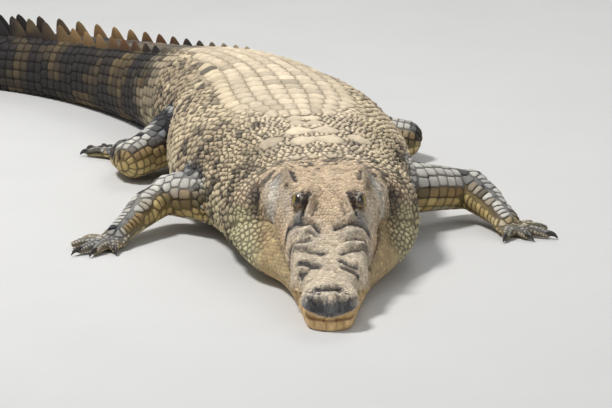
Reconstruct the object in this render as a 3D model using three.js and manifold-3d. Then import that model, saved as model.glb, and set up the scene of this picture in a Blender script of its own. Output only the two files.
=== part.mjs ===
// A Nile crocodile hauled out on its belly: 4 m long, head flat on the floor, elbows out, hind legs
// folded alongside and the tail swung round to the animal's right.
//
// The row frame is in millimetres, +Z up. The origin is on the floor under the middle of the belly, and
// the head points along -Y. A place along the body is its distance from the tip of the snout, measured
// down the backbone; "out" is to the animal's left of the backbone (+X at the chest) and z is height.

import * as THREE from "three";
import { mergeVertices } from "three/addons/utils/BufferGeometryUtils.js";
import { LoftGeometry } from "three/addons/geometries/LoftGeometry.js";
import Module from "manifold-3d";

const wasm = await Module();
wasm.setup();

// ---------------------------------------------------------------------------------------------------
// Driving dimensions, in mm
// ---------------------------------------------------------------------------------------------------

const BODY_LENGTH = 4000;      // snout tip to tail tip
const BELLY_MIDDLE = 1300;     // the place along the body that lies over the origin
const NECK_START = 600;        // where the head's nodes end
const TRUNK_START = 850;
const TAIL_START = 1960;
const TAIL_MIDDLE_START = 2620;
const TAIL_END_START = 3280;
const CUT = 0.4;               // the thin cut between neighbouring solids
const MIDLINE = 1e-6;          // a point nearer to the midline than this is on it
const BELLY_SAG = 14;          // how far the round belly would pass below the floor it is pressed on

// Smooth curve through [place, value] knots, level beyond both ends.
function rail(...knots) {
  const last = knots.length - 1;
  const slope = knots.map(([x, y], i) => {
    if (i === 0 || i === last) return 0;
    const before = (y - knots[i - 1][1]) / (x - knots[i - 1][0]);
    const after = (knots[i + 1][1] - y) / (knots[i + 1][0] - x);
    return before * after <= 0 ? 0 : (2 * before * after) / (before + after);
  });
  return (x) => {
    if (x <= knots[0][0]) return knots[0][1];
    if (x >= knots[last][0]) return knots[last][1];
    const i = knots.findIndex((k) => k[0] > x) - 1;
    const [x0, y0] = knots[i];
    const [x1, y1] = knots[i + 1];
    const span = x1 - x0;
    const t = (x - x0) / span;
    const rise = t * t * (3 - 2 * t);
    return y0 + (y1 - y0) * rise
      + span * (slope[i] * t * (1 - t) ** 2 - slope[i + 1] * t * t * (1 - t));
  };
}

const smoothstep = (a, b, x) => {
  const t = Math.min(1, Math.max(0, (x - a) / (b - a)));
  return t * t * (3 - 2 * t);
};

const range = (count) => [...Array(count).keys()];
const evenly = (from, to, count) => range(count + 1).map((i) => from + ((to - from) * i) / count);
const SIDES = [1, -1];

// ---------------------------------------------------------------------------------------------------
// The backbone, seen from above: how far it has turned to the animal's right, in degrees
// ---------------------------------------------------------------------------------------------------

const heading = rail([0, 0], [360, 0], [440, 5], [540, 2], [640, 4], [740, 9], [1000, 8.5], [1250, 8],
  [1450, 10], [1650, 17], [1900, 23], [2200, 30], [2500, 39], [2800, 54], [3100, 76], [3400, 92], [3700, 104],
  [4000, 112]);

const SPINE_STEP = 5;
const spine = [[0, 0]];
for (const i of range(BODY_LENGTH / SPINE_STEP)) {
  const turn = THREE.MathUtils.degToRad(heading((i + 0.5) * SPINE_STEP));
  const [x, y] = spine[i];
  spine.push([x - Math.sin(turn) * SPINE_STEP, y + Math.cos(turn) * SPINE_STEP]);
}
const [BELLY_X, BELLY_Y] = spine[BELLY_MIDDLE / SPINE_STEP];

// A point given by its place along the body, how far it is out to the left, and its height.
function onBody(place, out, z) {
  const i = Math.min(spine.length - 2, Math.max(0, Math.floor(place / SPINE_STEP)));
  const t = place / SPINE_STEP - i;
  const turn = THREE.MathUtils.degToRad(heading(place));
  const x = spine[i][0] + (spine[i + 1][0] - spine[i][0]) * t - BELLY_X;
  const y = spine[i][1] + (spine[i + 1][1] - spine[i][1]) * t - BELLY_Y;
  return new THREE.Vector3(x + Math.cos(turn) * out, y + Math.sin(turn) * out, z);
}

// ---------------------------------------------------------------------------------------------------
// Cross sections. A section is walked from the top midline (t = 0) down one side to the belly (t = 1)
// ---------------------------------------------------------------------------------------------------

const bodyHalfWidth = rail([540, 210], [620, 228], [700, 230], [780, 232], [880, 252], [1000, 277],
  [1150, 290], [1350, 284], [1500, 260], [1650, 226], [1800, 196], [1950, 172], [2100, 150], [2300, 126],
  [2600, 100], [2900, 76], [3200, 54], [3500, 36], [3800, 20], [3960, 9], [4000, 4]);
const bodyTop = rail([540, 246], [620, 254], [700, 266], [800, 274], [950, 280], [1150, 286], [1350, 288],
  [1550, 283], [1700, 279], [1850, 268], [2000, 248], [2200, 217], [2500, 184], [2800, 160], [3100, 134],
  [3400, 107], [3700, 76], [3900, 50], [4000, 26]);
const bodyWidestAt = rail([540, 95], [700, 100], [1000, 105], [1350, 110], [1700, 110], [2000, 100],
  [2500, 80], [3000, 58], [3500, 40], [4000, 13]);
const backFullness = rail([540, 2.1], [900, 2.3], [1600, 2.35], [2100, 2.5], [2800, 2.2], [3400, 1.9]);
const BELLY_FULLNESS = 2.7;

function bodySection(place, t) {
  const turn = Math.PI * t;
  const widest = bodyWidestAt(place);
  const above = turn < Math.PI / 2;
  const fullness = above ? backFullness(place) : BELLY_FULLNESS;
  const across = Math.abs(Math.sin(turn)) ** (2 / fullness);
  const along = Math.abs(Math.cos(turn)) ** (2 / fullness);
  const z = above ? widest + (bodyTop(place) - widest) * along : widest - (widest + BELLY_SAG) * along;
  return [bodyHalfWidth(place) * across, Math.max(0, z)];
}

// The head's section passes through these points, each a [t, half width, height] of its own.
const LIP_T = 0.46;
const JAW_T = 0.54;
const MOUTH_CUT = 1.2;
const crown = rail([0, 66], [4, 74], [12, 82], [25, 86], [45, 88], [75, 92], [105, 98], [150, 110],
  [200, 125], [250, 141], [300, 158], [340, 182], [375, 203], [420, 226], [470, 238], [550, 246],
  [600, 252], [680, 262]);
const brow = rail([0, 12], [6, 28], [20, 42], [50, 50], [90, 46], [110, 46], [150, 60], [185, 68],
  [230, 70], [280, 70], [330, 64], [375, 58], [430, 76], [480, 84], [550, 90], [680, 130]);
const browDrop = rail([0, 3], [20, 8], [50, 12], [110, 12], [185, 14], [250, 16], [300, 14], [340, 9],
  [375, 0], [430, 0], [550, 4], [680, 20]);
const cheek = rail([0, 16], [6, 36], [20, 53], [50, 63], [90, 56], [110, 56], [150, 70], [185, 84],
  [230, 82], [280, 86], [330, 92], [375, 94], [430, 110], [480, 121], [530, 140], [600, 178], [680, 205]);
const cheekHeight = rail([0, 58], [50, 70], [110, 74], [185, 86], [250, 98], [330, 132], [375, 158],
  [430, 170], [480, 176], [550, 184], [680, 190]);
const lip = rail([0, 14], [6, 38], [20, 57], [50, 67], [85, 61], [108, 57], [132, 66], [160, 80],
  [187, 88], [230, 85], [265, 86], [300, 94], [350, 103], [400, 110], [450, 113], [490, 118], [520, 136],
  [560, 172], [600, 200], [680, 226]);
const lipHeight = rail([0, 40], [20, 40], [50, 42], [85, 50], [108, 56], [132, 54], [187, 52], [230, 62],
  [265, 68], [300, 76], [350, 92], [400, 106], [450, 118], [500, 126], [540, 124], [600, 110]);
const jawInset = rail([0, 16], [50, 14], [108, 0], [150, 9], [187, 11], [265, 3], [350, 0], [400, -3],
  [500, -6], [600, -4], [680, 0]);
const jowl = rail([0, 16], [8, 34], [20, 46], [34, 51], [64, 57], [128, 65], [170, 73], [205, 80],
  [260, 90], [300, 100], [370, 125], [440, 166], [510, 198], [580, 220], [640, 230], [700, 230]);
const jowlHeight = rail([0, 22], [100, 26], [250, 34], [370, 42], [440, 50], [520, 64], [620, 90],
  [680, 98]);
const throat = rail([0, 10], [8, 26], [20, 38], [34, 44], [64, 48], [100, 51], [205, 60], [300, 70],
  [400, 86], [500, 108], [600, 142], [680, 170]);

function headKeys(place) {
  const lipZ = lipHeight(place);
  return [
    [0, 0, crown(place)],
    [0.2, brow(place), crown(place) - browDrop(place)],
    [0.34, cheek(place), cheekHeight(place)],
    [LIP_T, lip(place), lipZ + MOUTH_CUT / 2],
    [JAW_T, lip(place) - jawInset(place), lipZ - MOUTH_CUT / 2],
    [0.7, jowl(place), jowlHeight(place)],
    [0.88, throat(place), 0],
    [1, 0, 0],
  ];
}

// Catmull-Rom through the keys from first to last, as [half width, height].
function throughKeys(keys, t) {
  const last = keys.length - 1;
  let i = 0;
  while (i < last - 1 && keys[i + 1][0] <= t) i += 1;
  const [a, b] = [keys[i], keys[i + 1]];
  const span = b[0] - a[0];
  const k = (t - a[0]) / span;
  return [1, 2].map((axis) => {
    const before = i > 0 ? (b[axis] - keys[i - 1][axis]) / (b[0] - keys[i - 1][0]) : b[axis] - a[axis];
    const after = i < last - 1
      ? (keys[i + 2][axis] - a[axis]) / (keys[i + 2][0] - a[0])
      : (b[axis] - a[axis]) / span;
    const first = i > 0 ? before : axis === 1 ? (b[1] - a[1]) / span : 0;
    const rise = k * k * (3 - 2 * k);
    return a[axis] + (b[axis] - a[axis]) * rise + span * (first * k * (1 - k) ** 2 - after * k * k * (1 - k));
  });
}

// Swellings of the head, each a soft mound at a place along it and a distance from its midline.
const EYE_PLACE = 372;
const EYE_OUT = 64;
const EYE_HEIGHT = 205;
const EYE_RADIUS = 20;
const MOUNDS = [
  { place: 46, out: 0, long: 20, wide: 26, high: 9 },       // the nostrils' disc
  { place: 60, out: 42, long: 26, wide: 18, high: 5 },
  { place: 182, out: 62, long: 26, wide: 20, high: 7 },     // over the largest upper tooth
  { place: 238, out: 40, long: 12, wide: 20, high: 7 },     // the bosses before the eyes
  { place: 270, out: 46, long: 13, wide: 22, high: 8 },
  { place: 302, out: 42, long: 14, wide: 18, high: 10 },
  { place: EYE_PLACE, out: 52, long: 30, wide: 19, high: 27 },   // the eye's own mound
  { place: 455, out: 84, long: 55, wide: 10, high: 8 },     // the skull table's raised edge
  { place: 530, out: 86, long: 26, wide: 12, high: 10 },
  { place: 440, out: 138, long: 50, wide: 16, high: 10 },   // the cheek's arch
];

function mounds(place, out) {
  return MOUNDS.reduce((sum, m) =>
    sum + m.high * Math.exp(-(((place - m.place) / m.long) ** 2) - ((Math.abs(out) - m.out) / m.wide) ** 2), 0);
}

function headSection(place, t) {
  const [out, z] = throughKeys(headKeys(place), t);
  const swelling = t < LIP_T ? mounds(place, out) * smoothstep(LIP_T, LIP_T - 0.1, t) : 0;
  return [Math.max(0, out), Math.max(0, z + swelling)];
}

function section(place, t) {
  const share = smoothstep(540, 670, place);
  if (share === 0) return headSection(place, t);
  if (share === 1) return bodySection(place, t);
  const [a, b] = [headSection(place, t), bodySection(place, t)];
  return [a[0] + (b[0] - a[0]) * share, a[1] + (b[1] - a[1]) * share];
}

// ---------------------------------------------------------------------------------------------------
// Solids
// ---------------------------------------------------------------------------------------------------

function solidOf(geometry) {
  const bare = new THREE.BufferGeometry();
  bare.setAttribute("position", geometry.getAttribute("position"));
  bare.setIndex(geometry.getIndex());
  const merged = mergeVertices(bare, 1e-3);
  const corners = [...merged.index.array];
  const kept = range(corners.length / 3)
    .map((i) => corners.slice(3 * i, 3 * i + 3))
    .filter(([a, b, c]) => a !== b && b !== c && c !== a);
  return new wasm.Manifold(new wasm.Mesh({
    numProp: 3,
    vertProperties: merged.getAttribute("position").array,
    triVerts: new Uint32Array(kept.flat()),
  }));
}

function geometryOf(solid) {
  const mesh = solid.getMesh();
  const geometry = new THREE.BufferGeometry();
  geometry.setAttribute("position", new THREE.BufferAttribute(new Float32Array(mesh.vertProperties), 3));
  geometry.setIndex(new THREE.BufferAttribute(new Uint32Array(mesh.triVerts), 1));
  geometry.computeVertexNormals();
  return geometry;
}

// A loft through rings of points, closed by drawing each end in to the middle of its ring.
function loft(rings) {
  const middleOf = (ring) => {
    const sum = ring.reduce((total, point) => total.add(point), new THREE.Vector3());
    return ring.map(() => sum.clone().divideScalar(ring.length));
  };
  const closed = [middleOf(rings[0]), ...rings, middleOf(rings.at(-1))];
  const made = solidOf(new LoftGeometry(closed));
  if (made.volume() > 0) return made;
  return solidOf(new LoftGeometry(closed.map((ring) => [...ring].reverse())));
}

// One ring of the body between two values of t, left side then right, without doubling the midline.
function bodyRing(place, first, last, steps, grow = 0) {
  const half = evenly(first, last, steps).map((t) => {
    const [out, z] = section(place, t);
    return [out > MIDLINE ? out + grow : 0, t < 0.5 ? z + grow : z - grow];
  });
  const other = [...half].reverse().filter(([out]) => out > MIDLINE);
  return [
    ...half.map(([out, z]) => onBody(place, out, z)),
    ...other.map(([out, z]) => onBody(place, -out, z)),
  ];
}

const bodyLength = (places, steps, grow = 0) =>
  loft(places.map((place) => bodyRing(place, 0, 1, steps, grow)));

// ---------------------------------------------------------------------------------------------------
// Head and lower jaw, which meet along the line of the mouth
// ---------------------------------------------------------------------------------------------------

const MOUTH_PLACES = [46, 66, 88, 108, 132, 158, 185, 212, 240, 268, 300, 326, 348, 372, 398, 428, 462, 498,
  530, 560, NECK_START - CUT];
const HEAD_PLACES = [0, 4, 12, 26, ...MOUTH_PLACES];
const JAW_PLACES = [6, 12, 26, ...MOUTH_PLACES];
const HEAD_STEPS = 8;
const JAW_STEPS = 5;

const eyeCentre = (side) => onBody(EYE_PLACE, side * EYE_OUT, EYE_HEIGHT);

function ball(centre, radius, around, down) {
  const geometry = new THREE.SphereGeometry(radius, around, down);
  geometry.translate(centre.x, centre.y, centre.z);
  return solidOf(geometry);
}

// The teeth that show when the mouth is shut: [place, length] down the upper jaw, and the large lower
// tooth that stands up into the notch.
const UPPER_TEETH = [[30, 12], [56, 14], [80, 11], [140, 12], [162, 16], [187, 21], [213, 15], [242, 11]];
const NOTCH_TOOTH = [109, 26];
const TOOTH_RADIUS = 5;
const TOOTH_SIDES = 4;

function tooth([place, length], side, up, grow = 0) {
  const root = onBody(place, side * (lip(place) - 1), lipHeight(place));
  const cone = new THREE.ConeGeometry(TOOTH_RADIUS + grow, 2 * (length + grow), TOOTH_SIDES);
  cone.rotateX(up * Math.PI / 2);
  cone.translate(root.x, root.y, root.z);
  return solidOf(cone);
}

const join = (solids) => solids.reduce((whole, solid) => whole.add(solid));

// The main piece of a solid, without the crumbs that a cut leaves.
const largest = (solid) =>
  solid.decompose().reduce((most, piece) => (piece.volume() > most.volume() ? piece : most));

const outside = (solid, neighbour) => largest(solid.subtract(neighbour));

const lowerJaw = (grow = 0) => join([
  loft(JAW_PLACES.map((place) => bodyRing(place, JAW_T, 1, JAW_STEPS, grow))),
  ...SIDES.map((side) => tooth(NOTCH_TOOTH, side, 1, grow)),
]);

function upperHead() {
  const skull = loft(HEAD_PLACES.map((place) => bodyRing(place, 0, LIP_T, HEAD_STEPS)));
  const teeth = SIDES.flatMap((side) => UPPER_TEETH.map((one) => tooth(one, side, -1)));
  const room = SIDES.flatMap((side) => [
    ball(eyeCentre(side), EYE_RADIUS + CUT, 10, 8),
    tooth(NOTCH_TOOTH, side, 1, CUT),
  ]);
  return join([skull, join(teeth).subtract(lowerJaw(CUT))]).subtract(join(room));
}

// ---------------------------------------------------------------------------------------------------
// Neck, trunk and tail
// ---------------------------------------------------------------------------------------------------

const BODY_STEPS = 12;
const NECK_PLACES = [NECK_START, 640, 700, 770, TRUNK_START - CUT];
const TRUNK_PLACES = [...evenly(TRUNK_START, 1450, 6), ...evenly(1550, TAIL_START - CUT, 5)];
const TAIL_BASE_PLACES = evenly(TAIL_START, TAIL_MIDDLE_START - CUT, 5);
const TAIL_MIDDLE_PLACES = evenly(TAIL_MIDDLE_START, TAIL_END_START - CUT, 6);
const TAIL_END_PLACES = evenly(TAIL_END_START, BODY_LENGTH, 7);

// The tail's crest: a row of blades down each side of its back, which draw together into one row.
const CREST_START = 1900;
const CREST_WHORLS = 33;
const CREST_MERGE = 3000;
const CREST_SINK = 12;
const BLADE_THICKNESS = 11;
const BLADE_RAKE = 0.45;
const CREST_ROOM = 100;          // more than the blades stand above the tail
const crestHeight = rail([1850, 5], [2100, 12], [2400, 26], [2700, 42], [2950, 58], [3200, 72], [3500, 66],
  [3800, 46], [3980, 18]);
const crestPitch = (BODY_LENGTH - 40 - CREST_START) / CREST_WHORLS;

function blade(place, side) {
  const height = crestHeight(place);
  const out = side * bodyHalfWidth(place) * 0.42 * smoothstep(CREST_MERGE + 60, 2500, place)
    + side * 8 * smoothstep(CREST_MERGE, CREST_MERGE - 60, place);
  const root = onBody(place, out, surfaceHeight(place, Math.abs(out)) - CREST_SINK);
  const cone = new THREE.ConeGeometry(crestPitch * 0.62, height + CREST_SINK, 4);
  cone.translate(0, (height + CREST_SINK) / 2, 0);
  cone.scale(BLADE_THICKNESS / crestPitch, 1, 1);
  cone.applyMatrix4(new THREE.Matrix4().makeShear(0, 0, 0, -BLADE_RAKE, 0, 0));
  cone.rotateX(Math.PI / 2);
  cone.rotateZ(THREE.MathUtils.degToRad(heading(place)));
  cone.translate(root.x, root.y, root.z);
  return solidOf(cone);
}

// The height of the back at a distance from its midline.
function surfaceHeight(place, out) {
  const share = Math.min(1, out / bodyHalfWidth(place));
  const fullness = backFullness(place);
  const rise = (1 - share ** fullness) ** (1 / fullness);
  return bodyWidestAt(place) + (bodyTop(place) - bodyWidestAt(place)) * rise;
}

// A length of the tail with its blades, cut off square where the next length begins.
function crested(places, steps) {
  const [from, to] = [places[0] - crestPitch, places.at(-1) + crestPitch];
  const whorls = range(CREST_WHORLS).map((i) => CREST_START + (i + 0.5) * crestPitch);
  const blades = whorls.filter((place) => place > from && place < to).flatMap((place) =>
    (place < CREST_MERGE ? SIDES.map((side) => blade(place, side)) : [blade(place, 0)]));
  const room = bodyLength(places, steps, CREST_ROOM);
  return largest(join([bodyLength(places, steps), ...blades]).intersect(room));
}

// ---------------------------------------------------------------------------------------------------
// Limbs. A route is a list of [back, out, z, half width, half height] stations, in mm, counted from the
// backbone at the girdle: back towards the tail, out to the limb's own side
// ---------------------------------------------------------------------------------------------------

const SHOULDER_PLACE = 900;
const HIP_PLACE = 1750;
const LIMB_SIDES = 10;
const DIGIT_SIDES = 6;

function beside(place, side, [back, out, z]) {
  const turn = THREE.MathUtils.degToRad(heading(place));
  const base = onBody(place, 0, 0);
  const x = base.x + Math.cos(turn) * side * out - Math.sin(turn) * back;
  const y = base.y + Math.sin(turn) * side * out + Math.cos(turn) * back;
  return new THREE.Vector3(x, y, z);
}

// A round-ended tube along a route, pressed flat where it would pass below the floor.
function limb(place, side, route, { sides = LIMB_SIDES, rings = 3, grow = 0 } = {}) {
  const curve = new THREE.CatmullRomCurve3(route.map((stop) => beside(place, side, stop)));
  const sizes = new THREE.CatmullRomCurve3(route.map((stop) => new THREE.Vector3(stop[3], stop[4], 0)));
  const up = new THREE.Vector3(0, 0, 1);
  const ring = (share, lead, shrink) => {
    const along = curve.getTangent(share);
    const size = sizes.getPoint(share);
    const centre = curve.getPoint(share).addScaledVector(along, lead * (size.y + grow));
    const across = new THREE.Vector3().crossVectors(along, up).normalize();
    const lift = new THREE.Vector3().crossVectors(across, along).normalize();
    return range(sides).map((k) => {
      const turn = (2 * Math.PI * (k + 0.5)) / sides;
      const point = centre.clone()
        .addScaledVector(across, Math.cos(turn) * (size.x + grow) * shrink)
        .addScaledVector(lift, Math.sin(turn) * (size.y + grow) * shrink);
      point.z = Math.max(-grow, point.z);
      return point;
    });
  };
  return loft([
    ring(0, -0.75, 0.6),
    ...evenly(0, 1, rings).map((share) => ring(share, 0, 1)),
    ring(1, 0.75, 0.6),
  ]);
}

const UPPER_ARM = {
  left: [[5, 120, 105, 70, 75], [35, 225, 98, 66, 68], [75, 320, 86, 56, 58], [112, 396, 71, 44, 50]],
  right: [[15, 100, 90, 76, 84], [45, 198, 92, 72, 76], [85, 266, 88, 60, 62], [122, 319, 80, 46, 50]],
};
const FOREARM = {
  left: [[106, 412, 74, 50, 50], [50, 440, 58, 45, 43], [-10, 458, 42, 37, 33], [-62, 474, 28, 34, 25]],
  right: [[120, 322, 78, 44, 44], [60, 378, 62, 43, 41], [0, 421, 44, 35, 32], [-48, 458, 28, 34, 25]],
};
const PALM = {
  left: [[-52, 468, 25, 33, 23], [-76, 481, 17, 42, 17], [-96, 492, 12, 38, 12]],
  right: [[-42, 452, 25, 33, 23], [-66, 472, 17, 42, 17], [-84, 488, 12, 38, 12]],
};
const FINGER_TIPS = {
  left: [[-160, 446], [-160, 520], [-143, 582], [-54, 594], [-6, 566]],
  right: [[-148, 472], [-156, 536], [-132, 576], [-47, 588], [7, 555]],
};
const THIGH = {
  left: [[50, 50, 104, 82, 82], [-30, 170, 86, 70, 68], [-110, 300, 66, 56, 56], [-155, 388, 54, 48, 48]],
  right: [[50, 50, 118, 86, 88], [-20, 159, 100, 76, 76], [-118, 271, 78, 59, 59], [-156, 350, 56, 49, 49]],
};
const SHANK = {
  left: [[-152, 386, 58, 46, 46], [-85, 368, 52, 48, 44], [-12, 330, 40, 38, 34], [38, 305, 30, 33, 27]],
  right: [[-153, 348, 54, 46, 46], [-80, 340, 50, 48, 44], [-10, 312, 40, 38, 34], [40, 292, 30, 33, 27]],
};
const SOLE = {
  left: [[32, 308, 28, 33, 26], [73, 312, 20, 42, 18], [122, 320, 12, 46, 13]],
  right: [[34, 295, 28, 33, 26], [75, 297, 20, 42, 18], [125, 302, 12, 46, 13]],
};
const TOE_TIPS = {
  left: [[174, 408], [214, 380], [226, 336], [202, 290]],
  right: [[176, 392], [216, 364], [227, 320], [202, 274]],
};
const DIGIT_ROOT = 15;
const DIGIT_TIP = 10;
const CLAW_LENGTH = 27;
const CLAWED_DIGITS = 3;

// A digit's route runs from the middle of the palm, over its knuckle, down to its tip on the floor.
function digitRoute(palm, [tipBack, tipOut]) {
  const [rootBack, rootOut] = palm[1];
  const at = (share, z, size) =>
    [rootBack + (tipBack - rootBack) * share, rootOut + (tipOut - rootOut) * share, z, size, size];
  const ends = CLAW_LENGTH / Math.hypot(tipBack - rootBack, tipOut - rootOut);
  return [at(0.15, 15, DIGIT_ROOT), at(0.55, 15, DIGIT_ROOT - 2), at(1 - ends, 9, DIGIT_TIP)];
}

function clawRoute(palm, tip) {
  const [, , [rootBack, rootOut]] = digitRoute(palm, tip);
  const at = (share, z, size) =>
    [rootBack + (tip[0] - rootBack) * share, rootOut + (tip[1] - rootOut) * share, z, size, size];
  return [at(0.1, 13, 7), at(0.62, 12, 5.5), at(1, 4, 2.2)];
}

const DIGIT = { sides: DIGIT_SIDES, rings: 2 };
const CLAW = { sides: 5, rings: 1 };

const digit = (place, side, palm, tip, grow = 0) =>
  limb(place, side, digitRoute(palm, tip), { ...DIGIT, grow });

const claw = (place, side, palm, tip) =>
  outside(limb(place, side, clawRoute(palm, tip), CLAW), digit(place, side, palm, tip, CUT));

const paw = (place, side, palm, tips) => join([
  limb(place, side, palm, { rings: 2 }),
  ...tips.map((tip) => digit(place, side, palm, tip)),
]);

// ---------------------------------------------------------------------------------------------------
// The animal
// ---------------------------------------------------------------------------------------------------

const group = new THREE.Group();

const FLANK = new THREE.MeshStandardMaterial({ color: 0xb9a981, roughness: 0.75, metalness: 0 });
const BACK = new THREE.MeshStandardMaterial({ color: 0xc7b596, roughness: 0.85, metalness: 0 });
const DARK_TAIL = new THREE.MeshStandardMaterial({ color: 0x4b3f2c, roughness: 0.7, metalness: 0 });
const LEG = new THREE.MeshStandardMaterial({ color: 0xa08f5d, roughness: 0.7, metalness: 0 });
const EYEBALL = new THREE.MeshStandardMaterial({ color: 0x8a6a1c, roughness: 0.08, metalness: 0 });
const HORN = new THREE.MeshStandardMaterial({ color: 0x2b2a2c, roughness: 0.45, metalness: 0 });

function add(name, solid, material) {
  const mesh = new THREE.Mesh(geometryOf(solid), material);
  mesh.name = name;
  group.add(mesh);
}

add("head", upperHead(), BACK);
add("lower_jaw", lowerJaw(), FLANK);
add("neck", bodyLength(NECK_PLACES, BODY_STEPS), FLANK);
add("trunk", bodyLength(TRUNK_PLACES, BODY_STEPS), BACK);
add("tail_base", crested(TAIL_BASE_PLACES, 9), BACK);
add("tail_middle", crested(TAIL_MIDDLE_PLACES, 7), DARK_TAIL);
add("tail_end", crested(TAIL_END_PLACES, 6), DARK_TAIL);

const flesh = bodyLength([...NECK_PLACES.slice(0, -1), ...TRUNK_PLACES], BODY_STEPS, CUT);

const SIDE_NAMES = { left: 1, right: -1 };
for (const [name, side] of Object.entries(SIDE_NAMES)) {
  const eyeball = ball(eyeCentre(side), EYE_RADIUS, 10, 8);
  add(`eye_${name}`, eyeball, EYEBALL);

  const arm = (route, grow = 0) => limb(SHOULDER_PLACE, side, route[name], { grow });
  add(`upper_arm_${name}`, outside(arm(UPPER_ARM), flesh), LEG);
  add(`forearm_${name}`, outside(arm(FOREARM), arm(UPPER_ARM, CUT)), LEG);
  const hand = paw(SHOULDER_PLACE, side, PALM[name], FINGER_TIPS[name]);
  add(`hand_${name}`, outside(hand, arm(FOREARM, CUT)), LEG);

  const leg = (route, grow = 0) => limb(HIP_PLACE, side, route[name], { grow });
  add(`thigh_${name}`, outside(leg(THIGH), flesh), LEG);
  add(`shank_${name}`, outside(leg(SHANK), leg(THIGH, CUT)), LEG);
  const foot = paw(HIP_PLACE, side, SOLE[name], TOE_TIPS[name]);
  add(`foot_${name}`, outside(foot, leg(SHANK, CUT)), LEG);

  for (const i of range(CLAWED_DIGITS)) {
    const [finger, toe] = [FINGER_TIPS[name][i], TOE_TIPS[name][i]];
    add(`claw_hand_${name}_${i + 1}`, claw(SHOULDER_PLACE, side, PALM[name], finger), HORN);
    add(`claw_foot_${name}_${i + 1}`, claw(HIP_PLACE, side, SOLE[name], toe), HORN);
  }
}

export default group;
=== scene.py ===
"""A Nile crocodile at life size, hauled out on its belly, as a still model for a museum floor.

A place along the body is its distance from the tip of the snout, in millimetres, measured down the
backbone. "Out" is the distance to the animal's left of the backbone. Each cross section is walked from the
top midline (t = 0) down one side to the belly (t = 1). Meshes are in metres.
"""

from __future__ import annotations

import logging
import math
from collections.abc import Iterable
from dataclasses import dataclass, field, replace
from enum import Enum

import bmesh
import bpy
import numpy as np
from mathutils import Euler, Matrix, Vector
from mathutils.bvhtree import BVHTree
from mathutils.kdtree import KDTree


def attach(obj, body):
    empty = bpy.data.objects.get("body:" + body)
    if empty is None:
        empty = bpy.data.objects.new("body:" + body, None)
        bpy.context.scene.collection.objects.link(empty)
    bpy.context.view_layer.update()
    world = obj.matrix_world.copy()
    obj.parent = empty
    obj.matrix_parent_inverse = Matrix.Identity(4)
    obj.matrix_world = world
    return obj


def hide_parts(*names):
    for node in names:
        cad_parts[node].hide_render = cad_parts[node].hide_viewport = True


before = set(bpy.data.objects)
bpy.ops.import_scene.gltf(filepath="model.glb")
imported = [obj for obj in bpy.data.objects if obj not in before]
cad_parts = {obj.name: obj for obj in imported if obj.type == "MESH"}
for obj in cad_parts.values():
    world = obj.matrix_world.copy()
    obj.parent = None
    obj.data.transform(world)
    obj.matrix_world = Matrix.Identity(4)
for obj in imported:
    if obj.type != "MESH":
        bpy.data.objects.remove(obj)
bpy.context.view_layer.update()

log = logging.getLogger("crocodile")

MM = 0.001
SEED = 20
BODY_LENGTH = 4000.0
BELLY_MIDDLE = 1300.0
CREST_START = 1900.0
CREST_WHORLS = 33
CREST_PITCH = (BODY_LENGTH - 40 - CREST_START) / CREST_WHORLS

Array = np.ndarray
Mesh = bmesh.types.BMesh
Piece = bpy.types.Object
Material = bpy.types.Material
Socket = bpy.types.NodeSocket


class Side(Enum):
    """The animal's own sides, as the sign of "out"."""

    LEFT = 1
    RIGHT = -1

    @property
    def word(self) -> str:
        """The side's name as the nodes spell it."""
        return self.name.lower()


class Slot(Enum):
    """The material slots."""

    BACK = "back"
    FLANK = "flank"
    DARK_TAIL = "dark_tail"
    LEG = "leg"
    EYE = "eye"
    HORN = "horn"


# --- Small tools ---


def ramp(low: float, high: float, x: Array) -> Array:
    """A soft step from 0 at low to 1 at high."""
    t = np.clip((x - low) / (high - low), 0, 1)
    return t * t * (3 - 2 * t)


def bump(x: Array, middle: float, spread: float) -> Array:
    """A bell of height 1 around middle."""
    return np.exp(-(((x - middle) / spread) ** 2))


def unit(vectors: Array) -> Array:
    """Vectors scaled to length 1."""
    return vectors / np.maximum(np.linalg.norm(vectors, axis=-1, keepdims=True), 1e-12)


def linear(red: int, green: int, blue: int) -> Array:
    """A colour given in screen values from 0 to 255, as scene-linear values."""
    c = np.array([red, green, blue]) / 255
    return np.where(c <= 0.04045, c / 12.92, ((c + 0.055) / 1.055) ** 2.4)


def noise(points: Array, size: float, octaves: int = 3) -> Array:
    """Smooth noise of about -1 to 1.

    Args:
        points: positions in metres, (n, 3).
        size: the width of the largest lumps, in metres.
        octaves: how many finer layers are added.

    Returns:
        One value for each point.
    """
    total = np.zeros(len(points))
    for octave in range(octaves):
        p = points / size * 2**octave + 17.3 * octave
        cell = np.floor(p).astype(np.int64)
        f = p - cell
        f = f * f * (3 - 2 * f)
        value = np.zeros(len(points))
        for corner in np.ndindex(2, 2, 2):
            at = cell + corner
            mixed = at[:, 0] * 73856093 ^ at[:, 1] * 19349663 ^ at[:, 2] * 83492791
            mixed = (mixed ^ (mixed >> 13)) * 1274126177
            level = ((mixed ^ (mixed >> 16)) & 65535) / 32767.5 - 1
            weight = np.prod(np.where(corner, f, 1 - f), axis=1)
            value += level * weight
        total += value * 0.55**octave
    return total / 1.4


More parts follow.
